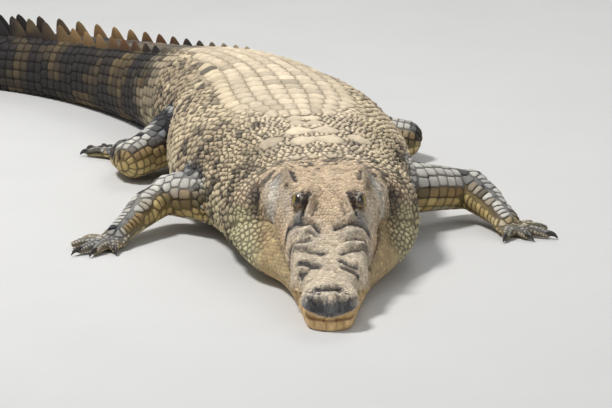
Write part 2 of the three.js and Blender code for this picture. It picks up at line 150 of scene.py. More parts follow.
class Rail:
    """A smooth curve through (place, value) knots, level beyond both ends."""

    def __init__(self, *knots: tuple[float, float]) -> None:
        """Keeps the knots and works out each one's slope.

        Args:
            knots: (place, value) pairs in order of place.
        """
        self.place, self.value = np.array(knots, float).T
        rise = np.diff(self.value) / np.diff(self.place)
        before, after = rise[:-1], rise[1:]
        turning = before * after <= 0
        total = np.where(turning, 1.0, before + after)
        self.slope = np.zeros(len(knots))
        self.slope[1:-1] = np.where(turning, 0.0, 2 * before * after / total)

    def __call__(self, place: Array | float) -> Array:
        """The curve's value at one place or many.

        Args:
            place: places along the body.

        Returns:
            The values there.
        """
        x = np.clip(place, self.place[0], self.place[-1])
        i = np.clip(np.searchsorted(self.place, x, side="right") - 1, 0, len(self.place) - 2)
        span = self.place[i + 1] - self.place[i]
        t = (x - self.place[i]) / span
        a, b = self.value[i], self.value[i + 1]
        bend = self.slope[i] * t * (1 - t) ** 2 - self.slope[i + 1] * t * t * (1 - t)
        return a + (b - a) * t * t * (3 - 2 * t) + span * bend


# --- The backbone and the cross sections, in millimetres ---


@dataclass
class Backbone:
    """The backbone seen from above.

    Args:
        stride: the length of the short steps that it is walked in.
        batch: how many points are located at once.
        heading: the way it runs at each place, in degrees from straight back.
    """

    stride: float = 5.0
    batch: int = 4000
    heading: Rail = Rail(
        (0, 0), (360, 0), (440, 5), (540, 2), (640, 4), (740, 9), (1000, 8.5), (1250, 8), (1450, 10),
        (1650, 17), (1900, 23), (2200, 30), (2500, 39), (2800, 54), (3100, 76), (3400, 92), (3700, 104),
        (4000, 112),
    )

    def __post_init__(self) -> None:
        """Walks the backbone in short steps."""
        count = int(BODY_LENGTH / self.stride)
        turn = np.radians(self.heading((np.arange(count) + 0.5) * self.stride))
        steps = np.stack([-np.sin(turn), np.cos(turn)], 1) * self.stride
        line = np.vstack([[0, 0], np.cumsum(steps, 0)])
        self.places = np.arange(count + 1) * self.stride
        self.line = line - line[int(BELLY_MIDDLE / self.stride)]

    def at(self, place: Array, out: Array, z: Array) -> Array:
        """Points given by place, distance out and height, in millimetres.

        Args:
            place: places along the body.
            out: distances out.
            z: heights.

        Returns:
            Positions in millimetres, (n, 3).
        """
        turn = np.radians(self.heading(place))
        x = np.interp(place, self.places, self.line[:, 0]) + np.cos(turn) * out
        y = np.interp(place, self.places, self.line[:, 1]) + np.sin(turn) * out
        return np.stack(np.broadcast_arrays(x, y, z), -1)

    def locate(self, points: Array) -> tuple[Array, Array]:
        """The place and distance out of points.

        Args:
            points: positions in millimetres, (n, 3).

        Returns:
            Places, and distances out.
        """
        place = np.empty(len(points))
        out = np.empty(len(points))
        turn = np.radians(self.heading(self.places))
        for start in range(0, len(points), self.batch):
            rows = slice(start, start + self.batch)
            apart = points[rows, None, :2] - self.line[None]
            nearest = (apart**2).sum(2).argmin(1)
            gap = apart[np.arange(len(apart)), nearest]
            sine, cosine = np.sin(turn[nearest]), np.cos(turn[nearest])
            place[rows] = self.places[nearest] + (-sine * gap[:, 0] + cosine * gap[:, 1])
            out[rows] = cosine * gap[:, 0] + sine * gap[:, 1]
        return place, out


@dataclass
class BodyShape:
    """The cross sections of head, neck, trunk and tail.

    Args:
        lip_t: where the upper lip's edge lies on a section of the head.
        jaw_t: where the lower jaw's edge lies on it.
        mouth_cut: the height between the two.
        belly_sag: how far the belly would reach below the floor if it weren't pressed flat.
        belly_fullness: how square the belly's section is.
        mounds: the head's swellings, as (place, distance out, length, width, height).
    """

    lip_t: float = 0.46
    jaw_t: float = 0.54
    mouth_cut: float = 1.2
    belly_sag: float = 14.0
    belly_fullness: float = 2.7

    half_width = Rail(
        (540, 210), (620, 228), (700, 230), (780, 232), (880, 252), (1000, 277), (1150, 290), (1350, 284),
        (1500, 260), (1650, 226), (1800, 196), (1950, 172), (2100, 150), (2300, 126), (2600, 100),
        (2900, 76), (3200, 54), (3500, 36), (3800, 20), (3960, 9), (4000, 4),
    )
    top = Rail(
        (540, 246), (620, 254), (700, 266), (800, 274), (950, 280), (1150, 286), (1350, 288), (1550, 283),
        (1700, 279), (1850, 268), (2000, 248), (2200, 217), (2500, 184), (2800, 160), (3100, 134),
        (3400, 107), (3700, 76), (3900, 50), (4000, 26),
    )
    widest_at = Rail(
        (540, 95), (700, 100), (1000, 105), (1350, 110), (1700, 110), (2000, 100), (2500, 80), (3000, 58),
        (3500, 40), (4000, 13),
    )
    back_fullness = Rail((540, 2.1), (900, 2.3), (1600, 2.35), (2100, 2.5), (2800, 2.2), (3400, 1.9))

    crown = Rail(
        (0, 66), (4, 74), (12, 82), (25, 86), (45, 88), (75, 92), (105, 98), (150, 110), (200, 125),
        (250, 141), (300, 158), (340, 182), (375, 203), (420, 226), (470, 238), (550, 246), (600, 252),
        (680, 262),
    )
    brow = Rail(
        (0, 12), (6, 28), (20, 42), (50, 50), (90, 46), (110, 46), (150, 60), (185, 68), (230, 70),
        (280, 70), (330, 64), (375, 58), (430, 76), (480, 84), (550, 90), (680, 130),
    )
    brow_drop = Rail(
        (0, 3), (20, 8), (50, 12), (110, 12), (185, 14), (250, 16), (300, 14), (340, 9), (375, 0), (430, 0),
        (550, 4), (680, 20),
    )
    cheek = Rail(
        (0, 16), (6, 36), (20, 53), (50, 63), (90, 56), (110, 56), (150, 70), (185, 84), (230, 82),
        (280, 86), (330, 92), (375, 94), (430, 110), (480, 121), (530, 140), (600, 178), (680, 205),
    )
    cheek_height = Rail(
        (0, 58), (50, 70), (110, 74), (185, 86), (250, 98), (330, 132), (375, 158), (430, 170), (480, 176),
        (550, 184), (680, 190),
    )
    lip = Rail(
        (0, 14), (6, 38), (20, 57), (50, 67), (85, 61), (108, 57), (132, 66), (160, 80), (187, 88),
        (230, 85), (265, 86), (300, 94), (350, 103), (400, 110), (450, 113), (490, 118), (520, 136),
        (560, 172), (600, 200), (680, 226),
    )
    lip_height = Rail(
        (0, 40), (20, 40), (50, 42), (85, 50), (108, 56), (132, 54), (187, 52), (230, 62), (265, 68),
        (300, 76), (350, 92), (400, 106), (450, 118), (500, 126), (540, 124), (600, 110),
    )
    jaw_inset = Rail(
        (0, 16), (50, 14), (108, 0), (150, 9), (187, 11), (265, 3), (350, 0), (400, -3), (500, -6),
        (600, -4), (680, 0),
    )
    jowl = Rail(
        (0, 16), (8, 34), (20, 46), (34, 51), (64, 57), (128, 65), (170, 73), (205, 80), (260, 90),
        (300, 100), (370, 125), (440, 166), (510, 198), (580, 220), (640, 230), (700, 230),
    )
    jowl_height = Rail((0, 22), (100, 26), (250, 34), (370, 42), (440, 50), (520, 64), (620, 90), (680, 98))
    throat = Rail(
        (0, 10), (8, 26), (20, 38), (34, 44), (64, 48), (100, 51), (205, 60), (300, 70), (400, 86),
        (500, 108), (600, 142), (680, 170),
    )

    mounds: tuple = (
        (46, 0, 20, 26, 9),
        (60, 42, 26, 18, 5),
        (182, 62, 26, 20, 7),
        (238, 40, 12, 20, 7),
        (270, 46, 13, 22, 8),
        (302, 42, 14, 18, 10),
        (372, 52, 30, 19, 27),
        (455, 84, 55, 10, 8),
        (530, 86, 26, 12, 10),
        (440, 138, 50, 16, 10),
    )

    def __post_init__(self) -> None:
        """Sets where the keys of a head's section lie."""
        self.key_t = np.array([0, 0.2, 0.34, self.lip_t, self.jaw_t, 0.7, 0.88, 1])

    def body_section(self, place: Array, t: Array) -> tuple[Array, Array]:
        """Half width and height of the neck, trunk and tail.

        Args:
            place: places along the body.
            t: where each point lies on its cross section.

        Returns:
            Half widths and heights.
        """
        turn = np.pi * t
        widest = self.widest_at(place)
        above = turn < np.pi / 2
        fullness = np.where(above, self.back_fullness(place), self.belly_fullness)
        across = np.abs(np.sin(turn)) ** (2 / fullness)
        along = np.abs(np.cos(turn)) ** (2 / fullness)
        upper = widest + (self.top(place) - widest) * along
        lower = widest - (widest + self.belly_sag) * along
        return self.half_width(place) * across, np.maximum(0, np.where(above, upper, lower))

    def head_section(self, place: Array, t: Array) -> tuple[Array, Array]:
        """Half width and height of the head, a smooth curve through the section's keys.

        Args:
            place: places along the body.
            t: where each point lies on its cross section.

        Returns:
            Half widths and heights.
        """
        level = np.zeros(np.shape(place))
        lip, lip_z = self.lip(place), self.lip_height(place)
        outs = np.stack([
            level, self.brow(place), self.cheek(place), lip, lip - self.jaw_inset(place),
            self.jowl(place), self.throat(place), level,
        ])
        heights = np.stack([
            self.crown(place), self.crown(place) - self.brow_drop(place), self.cheek_height(place),
            lip_z + self.mouth_cut / 2, lip_z - self.mouth_cut / 2, self.jowl_height(place), level, level,
        ])
        out = self._through(outs, t, (outs[1] - outs[0]) / self.key_t[1])
        z = self._through(heights, t, level)
        swelling = self.swelling(place, out) * ramp(self.lip_t, self.lip_t - 0.1, t)
        return np.maximum(0, out), np.maximum(0, z + np.where(t < self.lip_t, swelling, 0))

    def _through(self, keys: Array, t: Array, first: Array) -> Array:
        """A smooth curve through the keys, at t.

        Args:
            keys: the values at key_t, (keys, n).
            t: where on the section, (n,).
            first: the slope at the top midline, (n,).

        Returns:
            The value for each t.
        """
        gap = np.diff(self.key_t)
        inner = (keys[2:] - keys[:-2]) / (self.key_t[2:] - self.key_t[:-2])[:, None]
        slopes = np.vstack([first[None], inner, (keys[-1:] - keys[-2:-1]) / gap[-1]])
        i = np.clip(np.searchsorted(self.key_t, t, side="right") - 1, 0, len(gap) - 1)
        n = np.arange(len(t))
        span = gap[i]
        k = (t - self.key_t[i]) / span
        a, b = keys[i, n], keys[i + 1, n]
        bend = slopes[i, n] * k * (1 - k) ** 2 - slopes[i + 1, n] * k * k * (1 - k)
        return a + (b - a) * k * k * (3 - 2 * k) + span * bend

    def swelling(self, place: Array, out: Array) -> Array:
        """How far the head's swellings stand up.

        Args:
            place: places along the body.
            out: distances out.

        Returns:
            The height to add at each point.
        """
        total = np.zeros(np.shape(place))
        for at, beside, long, wide, high in self.mounds:
            total += high * bump(place, at, long) * bump(np.abs(out), beside, wide)
        return total

    def section(self, place: Array, t: Array) -> tuple[Array, Array]:
        """Half width and height anywhere on the body.

        Args:
            place: places along the body.
            t: where each point lies on its cross section.

        Returns:
            Half widths and heights.
        """
        share = ramp(540, 670, place)
        head = self.head_section(place, t)
        body = self.body_section(place, t)
        return head[0] + (body[0] - head[0]) * share, head[1] + (body[1] - head[1]) * share


SPINE = Backbone()
BODY = BodyShape()


# --- Limbs, in millimetres ---


class Curve:
    """A centripetal Catmull-Rom curve through points of any number of dimensions."""

    def __init__(self, points: list) -> None:
        """Pads the points with one more beyond each end.

        Args:
            points: the points, each a row.
        """
        given = np.array(points, float)
        self.last = len(given) - 1
        self.points = np.vstack([2 * given[0] - given[1], given, 2 * given[-1] - given[-2]])

    def at(self, share: Array) -> Array:
        """Points at shares of the curve from 0 to 1.

        Args:
            share: shares of the way along, from 0 to 1.

        Returns:
            One row for each share.
        """
        along = np.clip(share, 0, 1) * self.last
        i = np.minimum(along.astype(int), self.last - 1)
        w = (along - i)[:, None]
        p0, p1, p2, p3 = (self.points[i + k] for k in range(4))
        d0, d1, d2 = (
            np.sqrt(np.linalg.norm(b - a, axis=1))[:, None] for a, b in ((p0, p1), (p1, p2), (p2, p3))
        )
        d1 = np.where(d1 < 1e-4, 1, d1)
        d0 = np.where(d0 < 1e-4, d1, d0)
        d2 = np.where(d2 < 1e-4, d1, d2)
        start = ((p1 - p0) / d0 - (p2 - p0) / (d0 + d1) + (p2 - p1) / d1) * d1
        end = ((p2 - p1) / d1 - (p3 - p1) / (d1 + d2) + (p3 - p2) / d2) * d1
        square = -3 * p1 + 3 * p2 - 2 * start - end
        cube = 2 * p1 - 2 * p2 + start + end
        return p1 + start * w + square * w**2 + cube * w**3

    def tangent(self, share: Array) -> Array:
        """Directions of the curve."""
        low, high = np.clip(share - 1e-4, 0, 1), np.clip(share + 1e-4, 0, 1)
        return unit(self.at(high) - self.at(low))


@dataclass
class Tube:
    """One length of a limb: a round-ended tube pressed flat on the floor.

    Args:
        girdle: the place on the backbone that its stations are counted from.
        side: the animal's side.
        route: stations of (back, out, z, half width, half height).
        pitch: the size of a scale's (length, width) on it.
    """

    girdle: float
    side: Side
    route: tuple
    pitch: tuple[float, float] = (24, 22)

    def __post_init__(self) -> None:
        """Lays the route out beside the backbone."""
        turn = math.radians(float(SPINE.heading(self.girdle)))
        base = SPINE.at(np.array([self.girdle]), 0.0, 0.0)[0]
        stations = np.array(self.route, float)
        back, out = stations[:, 0], stations[:, 1] * self.side.value
        x = base[0] + math.cos(turn) * out - math.sin(turn) * back
        y = base[1] + math.sin(turn) * out + math.cos(turn) * back
        self.centre = Curve(list(np.stack([x, y, stations[:, 2]], 1)))
        self.size = Curve(list(stations[:, 3:5]))

    @property
    def length(self) -> float:
        """The centre line's length."""
        return float(np.linalg.norm(np.diff(self.centre.at(np.linspace(0, 1, 40)), axis=0), axis=1).sum())

    def frame_at(self, share: Array) -> tuple[Array, Array, Array]:
        """The tube's own directions: along, across and lift.

        Args:
            share: shares of the way along, from 0 to 1.

        Returns:
            Three sets of unit directions.
        """
        along = self.centre.tangent(share)
        across = unit(np.cross(along, [0, 0, 1]))
        return along, across, unit(np.cross(across, along))

    def surface(self, share: Array, turn: Array, inset: float = 0.0) -> Array:
        """Points of the tube's skin.

        Args:
            share: how far along, where below 0 and above 1 are the round ends, to -0.2 and 1.2.
            turn: angle around it, in radians, from its across direction towards its lift.
            inset: how far inside the outline, in millimetres.

        Returns:
            Positions in millimetres, (n, 3).
        """
        inner = np.clip(share, 0, 1)
        beyond = np.clip((share - inner) / 0.2, -1, 1) * np.pi / 2
        along, across, lift = self.frame_at(inner)
        size = self.size.at(inner) - inset
        shrink = np.cos(beyond) ** 0.8
        centre = self.centre.at(inner) + along * (np.sin(beyond) * 0.8 * size[:, 1])[:, None]
        point = centre + across * (np.cos(turn) * size[:, 0] * shrink)[:, None]
        point += lift * (np.sin(turn) * size[:, 1] * shrink)[:, None]
        point[:, 2] = np.maximum(point[:, 2], inset)
        return point

    def locate(self, points: Array) -> tuple[Array, Array, Array]:
        """Where points lie on the tube.

        Args:
            points: positions in millimetres, (n, 3).

        Returns:
            The share along it, the angle around it, and the distance from its centre line as a share of
            the tube's own half size there.
        """
        shares = np.linspace(0, 1, 25)
        centres = self.centre.at(shares)
        nearest = np.linalg.norm(points[:, None] - centres[None], axis=2).argmin(1)
        share = shares[nearest]
        _, across, lift = self.frame_at(share)
        size = self.size.at(share)
        gap = points - centres[nearest]
        x = (gap * across).sum(1) / size[:, 0]
        z = (gap * lift).sum(1) / size[:, 1]
        beyond = np.linalg.norm(gap, axis=1) / size.max(1)
        return share, np.arctan2(z, x), np.maximum(np.hypot(x, z), beyond * 0.8)


DIGIT_ROOT = 15.0
DIGIT_TIP = 10.0
CLAW_LENGTH = 27.0


@dataclass
class Paw:
    """A hand or a foot: a palm and its digits.

    Args:
        girdle: the place on the backbone that its stations are counted from.
        side: the animal's side.
        palm: the palm's stations.
        tips: where each digit's claw ends, as (back, out).
    """

    girdle: float
    side: Side
    palm: tuple
    tips: tuple

    def _along(self, tip: tuple[float, float], share: float, z: float, size: float) -> tuple:
        """A station on the line from the palm's middle to a digit's tip."""
        back, out = self.palm[1][:2]
        return back + (tip[0] - back) * share, out + (tip[1] - out) * share, z, size, size

    def digit_route(self, tip: tuple[float, float]) -> tuple:
        """A digit's stations, from inside the palm to the root of its claw.

        Args:
            tip: where the digit's claw ends.

        Returns:
            Three stations.
        """
        back, out = self.palm[1][:2]
        ends = 1 - CLAW_LENGTH / math.hypot(tip[0] - back, tip[1] - out)
        return (
            self._along(tip, 0.15, 15, DIGIT_ROOT),
            self._along(tip, 0.55, 15, DIGIT_ROOT - 2),
            self._along(tip, ends, 9, DIGIT_TIP),
        )

    def digits(self) -> list[Tube]:
        """The digits' tubes."""
        return [Tube(self.girdle, self.side, self.digit_route(tip), (9, 17)) for tip in self.tips]

    def claw_route(self, tip: tuple[float, float]) -> Curve:
        """A claw's centre line, in millimetres, from inside the digit to its point.

        Args:
            tip: where the digit's claw ends.

        Returns:
            A curve of (x, y, z, half width).
        """
        back, out = self.digit_route(tip)[2][:2]
        stations = [
            (back + (tip[0] - back) * share, out + (tip[1] - out) * share, z, size, size)
            for share, z, size in ((-0.25, 10, 8), (0.1, 13, 7.4), (0.62, 11.5, 4.6), (1, 3, 0.8))
        ]
        tube = Tube(self.girdle, self.side, tuple(stations))
        return Curve(list(np.hstack([
            tube.centre.at(np.linspace(0, 1, 4)), np.array(stations)[:, 3:4],
        ])))


SHOULDER = 900.0
HIP = 1750.0


@dataclass
class Limb:
    """A whole limb.

    Args:
        name: what it is called in the log.
        side: the animal's side.
        lengths: its tubes from the body outwards.
        paw: its hand or foot.
        nodes: the solids that its skin covers.
    """

    name: str
    side: Side
    lengths: list[Tube]
    paw: Paw
    nodes: tuple[str, str, str]

    def tubes(self) -> list[Tube]:
        """Every tube of the limb."""
        palm = Tube(self.paw.girdle, self.side, self.paw.palm, (11, 20))
        return [*self.lengths, palm, *self.paw.digits()]


def make_limbs() -> list[Limb]:
    """The animal's four limbs.

    Returns:
        The limbs.
    """
    left, right = Side.LEFT, Side.RIGHT
    upper_arm = {
        left: ((5, 120, 105, 70, 75), (35, 225, 98, 66, 68), (75, 320, 86, 56, 58), (112, 396, 71, 44, 50)),
        right: ((15, 100, 90, 76, 84), (45, 198, 92, 72, 76), (85, 266, 88, 60, 62), (122, 319, 80, 46, 50)),
    }
    forearm = {
        left: ((106, 412, 74, 50, 50), (50, 440, 58, 45, 43), (-10, 458, 42, 37, 33), (-62, 474, 28, 34, 25)),
        right: ((120, 322, 78, 44, 44), (60, 378, 62, 43, 41), (0, 421, 44, 35, 32), (-48, 458, 28, 34, 25)),
    }
    palm = {
        left: ((-52, 468, 25, 33, 23), (-76, 481, 17, 42, 17), (-96, 492, 12, 38, 12)),
        right: ((-42, 452, 25, 33, 23), (-66, 472, 17, 42, 17), (-84, 488, 12, 38, 12)),
    }
    finger_tips = {
        left: ((-160, 446), (-160, 520), (-143, 582), (-54, 594), (-6, 566)),
        right: ((-148, 472), (-156, 536), (-132, 576), (-47, 588), (7, 555)),
    }
    thigh = {
        left: (
            (50, 50, 104, 82, 82), (-30, 170, 86, 70, 68), (-110, 300, 66, 56, 56), (-155, 388, 54, 48, 48),
        ),
        right: (
            (50, 50, 118, 86, 88), (-20, 159, 100, 76, 76), (-118, 271, 78, 59, 59), (-156, 350, 56, 49, 49),
        ),
    }
    shank = {
        left: (
            (-152, 386, 58, 46, 46), (-85, 368, 52, 48, 44), (-12, 330, 40, 38, 34), (38, 305, 30, 33, 27),
        ),
        right: (
            (-153, 348, 54, 46, 46), (-80, 340, 50, 48, 44), (-10, 312, 40, 38, 34), (40, 292, 30, 33, 27),
        ),
    }
    sole = {
        left: ((32, 308, 28, 33, 26), (73, 312, 20, 42, 18), (122, 320, 12, 46, 13)),
        right: ((34, 295, 28, 33, 26), (75, 297, 20, 42, 18), (125, 302, 12, 46, 13)),
    }
    toe_tips = {
        left: ((174, 408), (214, 380), (226, 336), (202, 290)),
        right: ((176, 392), (216, 364), (227, 320), (202, 274)),
    }
    limbs = []
    for side in Side:
        arm = [Tube(SHOULDER, side, upper_arm[side], (27, 27)), Tube(SHOULDER, side, forearm[side], (16, 40))]
        leg = [Tube(HIP, side, thigh[side], (24, 26)), Tube(HIP, side, shank[side], (16, 34))]
        limbs.append(Limb(
            f"arm_{side.word}", side, arm, Paw(SHOULDER, side, palm[side], finger_tips[side]),
            (f"upper_arm_{side.word}", f"forearm_{side.word}", f"hand_{side.word}"),
        ))
        limbs.append(Limb(
            f"leg_{side.word}", side, leg, Paw(HIP, side, sole[side], toe_tips[side]),
            (f"thigh_{side.word}", f"shank_{side.word}", f"foot_{side.word}"),
        ))
    return limbs


LIMBS = make_limbs()


# --- Eyes, in millimetres ---


@dataclass
class Eye:
    """An eyeball and the opening of its lids.

    Args:
        side: the animal's side.
        place: the place of its centre.
        out: its centre's distance out.
        height: its centre's height.
        radius: the ball's radius.
        lid: how thick the lids are.
        open_wide: how far the opening reaches to each corner, in degrees.
        open_up: how far it reaches up.
        open_down: how far it reaches down.
    """

    side: Side
    place: float = 372.0
    out: float = 64.0
    height: float = 205.0
    radius: float = 20.0
    lid: float = 1.5
    open_wide: float = 52.0
    open_up: float = 43.0
    open_down: float = 32.0
    centre: Array = field(init=False)
    axes: Array = field(init=False)

    def __post_init__(self) -> None:
        """Finds the centre, and the directions forward (rear corner to front corner), up and gaze."""
        sign = self.side.value
        self.centre = SPINE.at(np.array([self.place]), sign * self.out, self.height)[0]
        gaze = unit(np.array([sign * 0.83, -0.50, 0.22]))
        up = unit(np.array([0, 0, 1]) - gaze * gaze[2])
        forward = np.cross(up, gaze) * sign
        self.axes = np.array([forward, up, gaze])

    def look(self, points: Array) -> Array:
        """Unit directions from the centre in the eye's own axes."""
        return unit((points - self.centre) @ self.axes.T)

    def opening(self, points: Array) -> Array:
        """How far points lie outside the lids' opening, as a share of its half size, below 0 inside.

        Args:
            points: positions in millimetres, (n, 3).

        Returns:
            One value for each point.
        """
        look = self.look(points)
        wide = np.degrees(np.arctan2(look[:, 0], look[:, 2])) / self.open_wide
        tall = np.degrees(np.arcsin(np.clip(look[:, 1], -1, 1)))
        tall = tall / np.where(tall > 0, self.open_up, self.open_down)
        return np.where(look[:, 2] > -0.2, np.hypot(np.abs(wide) ** 1.1, np.abs(tall) ** 0.9) - 1, 2.0)

    def drape(self, points: Array) -> Array:
        """Skin points laid over the eyeball, with the opening of the lids sunk inside it.

        Args:
            points: positions in millimetres, (n, 3).

        Returns:
            The draped points.
        """
        apart = points - self.centre
        reach = np.linalg.norm(apart, axis=1)
        near = reach < 2.2 * self.radius
        opening = self.opening(points)
        thickness = self.lid + 2.2 * bump(opening, 0.1, 0.14) - 0.7 * bump(opening, 0.42, 0.1)
        over = self.radius + thickness
        ease = 5.0
        held = np.log1p(np.exp(np.clip((reach - over) / ease * 4, -30, 30))) * ease / 4 + over
        edge = ramp(-0.02, 0.02, opening)
        target = held * edge + (self.radius - 3) * (1 - edge)
        # Only skin near the ball's outer side is draped on it.
        share = near * (reach < over + 6)
        moved = self.centre + unit(apart) * np.where(share > 0, target, reach)[:, None]
        return np.where(share[:, None] > 0, moved, points)


EYES = [Eye(side) for side in Side]


# --- Mesh helpers ---


def corners(verts: Iterable[bmesh.types.BMVert]) -> Array:
    """The vertices' positions."""
    return np.array([vert.co for vert in verts])


def lay(verts: Iterable[bmesh.types.BMVert], points: Array) -> None:
    """Puts each vertex at its point."""
    for vert, point in zip(verts, points):
        vert.co = point


def flat_grid(bm: Mesh, rows: int, columns: int) -> tuple[list, Array]:
    """Adds a flat grid to be bent into a skin.

    Args:
        bm: the mesh to add to.
        rows: its faces along.
        columns: its faces across.

    Returns:
        Its vertices, and each one's share of the way along and across.
    """
    verts = bmesh.ops.create_grid(bm, x_segments=rows, y_segments=columns, size=0.5)["verts"]
    spots = corners(verts)[:, :2]
    low, high = spots.min(0), spots.max(0)
    return verts, (spots - low) / (high - low)


def rod(segments: int, cuts: int, top: float = 1) -> Mesh:
    """An upright closed rod of radius 1 and height 1, with rings along it.

    Args:
        segments: its corners.
        cuts: the rings between its ends.
        top: its radius at the top.

    Returns:
        The rod.
    """
    bm = bmesh.new()
    bmesh.ops.create_cone(bm, cap_ends=True, segments=segments, radius1=1, radius2=top, depth=1)
    upright = [edge for edge in bm.edges if abs(edge.verts[0].co.z - edge.verts[1].co.z) > 0.5]
    bmesh.ops.subdivide_edges(bm, edges=upright, cuts=cuts)
    return bm


# --- The skin ---


@dataclass(frozen=True)
class Fold:
    """A furrow or a ridge of the head, along a path of (place, out) points in millimetres.

    Args:
        path: the points.
        width: its half width.
        height: how far it stands up, or sinks if negative.
        tone: how much painted highlight it lays on the hide, or painted shade if negative.
    """

    path: tuple
    width: float
    height: float
    tone: float = 0.0

    def strength(self, place: Array, out: Array) -> Array:
        """How much of the fold is felt at each point, from 0 to 1.

        Args:
            place: places along the body.
            out: distances out.

        Returns:
            One value for each point.
        """
        points = np.array(self.path if len(self.path) > 1 else self.path * 2, float)
        near = np.full(place.shape, np.inf)
        for (x0, y0), (x1, y1) in zip(points[:-1], points[1:]):
            square = (x1 - x0) ** 2 + (y1 - y0) ** 2
            along = ((place - x0) * (x1 - x0) + (out - y0) * (y1 - y0)) / max(square, 1e-9)
            along = np.clip(along, 0, 1)
            near = np.minimum(near, np.hypot(place - x0 - along * (x1 - x0), out - y0 - along * (y1 - y0)))
        return np.exp(-((near / self.width) ** 2))


# Each fold's tone is painted light and shade: a painted highlight along a ridge and painted shade in a
# furrow, pit or slit.
FOLDS = (
    # The nostrils' slit, the flap behind it and the two folds behind that.
    Fold(((44, -26), (33, -20), (28, -3), (30, 13), (42, 22)), 6.2, -9, -1.4),
    Fold(((47, -13), (44, 0), (47, 11)), 4.5, 3.0, 0.25),
    Fold(((54, -20), (63, -11), (54, -3)), 2.4, -3.0, -0.9),
    Fold(((54, 1), (63, 8), (54, 16)), 2.4, -3.0, -0.9),
    # Creases on the front of the snout.
    Fold(((23, -48), (10, -37)), 3, -2.2, -0.7),
    Fold(((8, -32), (3, -17)), 3, -2.2, -0.6),
    Fold(((11, 13), (3, 24)), 3, -2.2, -0.7),
    Fold(((8, 33), (15, 48)), 2.6, -2.0, -0.5),
    Fold(((20, 30), (26, 46)), 2.2, -1.6, -0.4),
    # Pits of the snout, and the ridge between them.
    Fold(((178, -62), (172, -50), (163, -39), (154, -28)), 9.5, -8, -1.1),
    Fold(((150, -66), (142, -58)), 7.5, -7, -1.0),
    Fold(((146, -52), (150, -32)), 3.4, -2.6, -0.6),
    Fold(((166, -77), (159, -60), (149, -45), (142, -28)), 4, 2.6, 0.25),
    Fold(((180, 26), (170, 36), (163, 46), (160, 56)), 6.6, -6, -1.0),
    Fold(((153, 30), (146, 44), (142, 60)), 5.6, -6, -0.95),
    Fold(((165, 28), (153, 42), (150, 56)), 3.6, 2.2, 0.2),
    Fold(((112, -40), (104, -58)), 3, -1.6, -0.3),
    Fold(((108, 40), (100, 58)), 3, -1.6, -0.3),
    # The step across the snout.
    Fold(((262, -83), (232, -60), (216, -36), (212, -26)), 4.5, -5, -0.9),
    Fold(((212, 33), (235, 62), (272, 83)), 4.2, -4.5, -0.85),
    Fold(((206, -22), (201, 0), (212, 33)), 2.6, -1.6, -0.25),
    Fold(((205, -17),), 7.5, -4.5, -1.0),
    Fold(((205, 28),), 5.5, -3.5, -0.9),
    Fold(((222, -84), (206, -58), (194, -30)), 5, 2.4, 0.2),
    Fold(((222, 84), (206, 60), (196, 34)), 5, 2.4, 0.2),
    # Bosses before the eyes.
    Fold(((258, -80), (240, -56), (236, -38)), 8, 6.5, 0.35),
    Fold(((316, -84), (300, -60), (282, -36)), 9, 7.5, 0.3),
    Fold(((290, -86), (270, -64), (260, -44)), 4.6, -5, -0.95),
    Fold(((288, -52), (272, -34)), 3.6, -4, -0.8),
    Fold(((276, 34), (298, 54), (312, 74)), 9, 7.5, 0.3),
    Fold(((240, 44), (252, 62), (278, 84)), 8, 6.5, 0.35),
    Fold(((258, 38), (272, 58), (294, 80)), 3.8, -4, -0.7),
    Fold(((276, 62),), 5, -4, -0.9),
    # Furrows between the bosses and the brows, dark with painted shade.
    Fold(((356, -93), (331, -66), (320, -52), (317, -38), (292, -24)), 6.2, -6, -1.1),
    Fold(((303, 17), (308, 33), (323, 51), (326, 69), (334, 86)), 6.0, -6, -1.05),
    # Beaded ridges that run back from the middle of the snout to the inner side of each eye.
    Fold(((316, -18), (328, -36), (336, -52), (352, -45), (377, -35)), 4.2, 4.2, 0.3),
    Fold(((318, 18), (330, 36), (338, 52), (352, 44), (374, 33)), 4.2, 4.2, 0.3),
    Fold(((343, -60), (354, -52), (374, -43)), 4.2, -3.5, -1.0),
    Fold(((343, 60), (354, 52), (374, 42)), 4.2, -3.5, -1.0),
    Fold(((334, -38), (345, -34), (362, -27)), 3.2, -2.4, -0.6),
    Fold(((334, 38), (345, 33), (362, 25)), 3.2, -2.4, -0.6),
    # The ears' slits under the edges of the skull table, and the flaps beside them.
    Fold(((500, -78), (468, -74), (444, -72)), 4.5, -7, -1.2),
    Fold(((500, 80), (468, 76), (446, 74)), 4.0, -6, -0.8),
    Fold(((520, -98), (486, -94), (450, -90)), 10, 3, -0.35),
    Fold(((520, 98), (486, 94), (450, 90)), 10, 3, -0.3),
    Fold(((454, -97), (438, -91), (424, -86)), 2.4, -3, -0.45),
    Fold(((450, 96), (436, 91), (424, 86)), 2.4, -3, -0.4),
    Fold(((502, -126), (476, -121), (459, -117)), 5, 3.5, 0.8),
    Fold(((506, 127), (487, 124), (470, 121)), 5.5, 3.5, 0.8),
    # The rim below and behind each eye, and the cheek's arch.
    Fold(((470, -108), (430, -101), (404, -93), (380, -91)), 7, 4.5, 0.45),
    Fold(((470, 110), (430, 104), (404, 96), (380, 91)), 7, 4.5, 0.45),
    Fold(((540, -134), (505, -124), (470, -118)), 9, 4, 0.5),
    Fold(((540, 136), (505, 126), (470, 119)), 9, 4, 0.5),
    Fold(((576, -160), (552, -156)), 10, -8, -0.6),
    Fold(((570, 163), (550, 157)), 9, -8, -0.6),
)


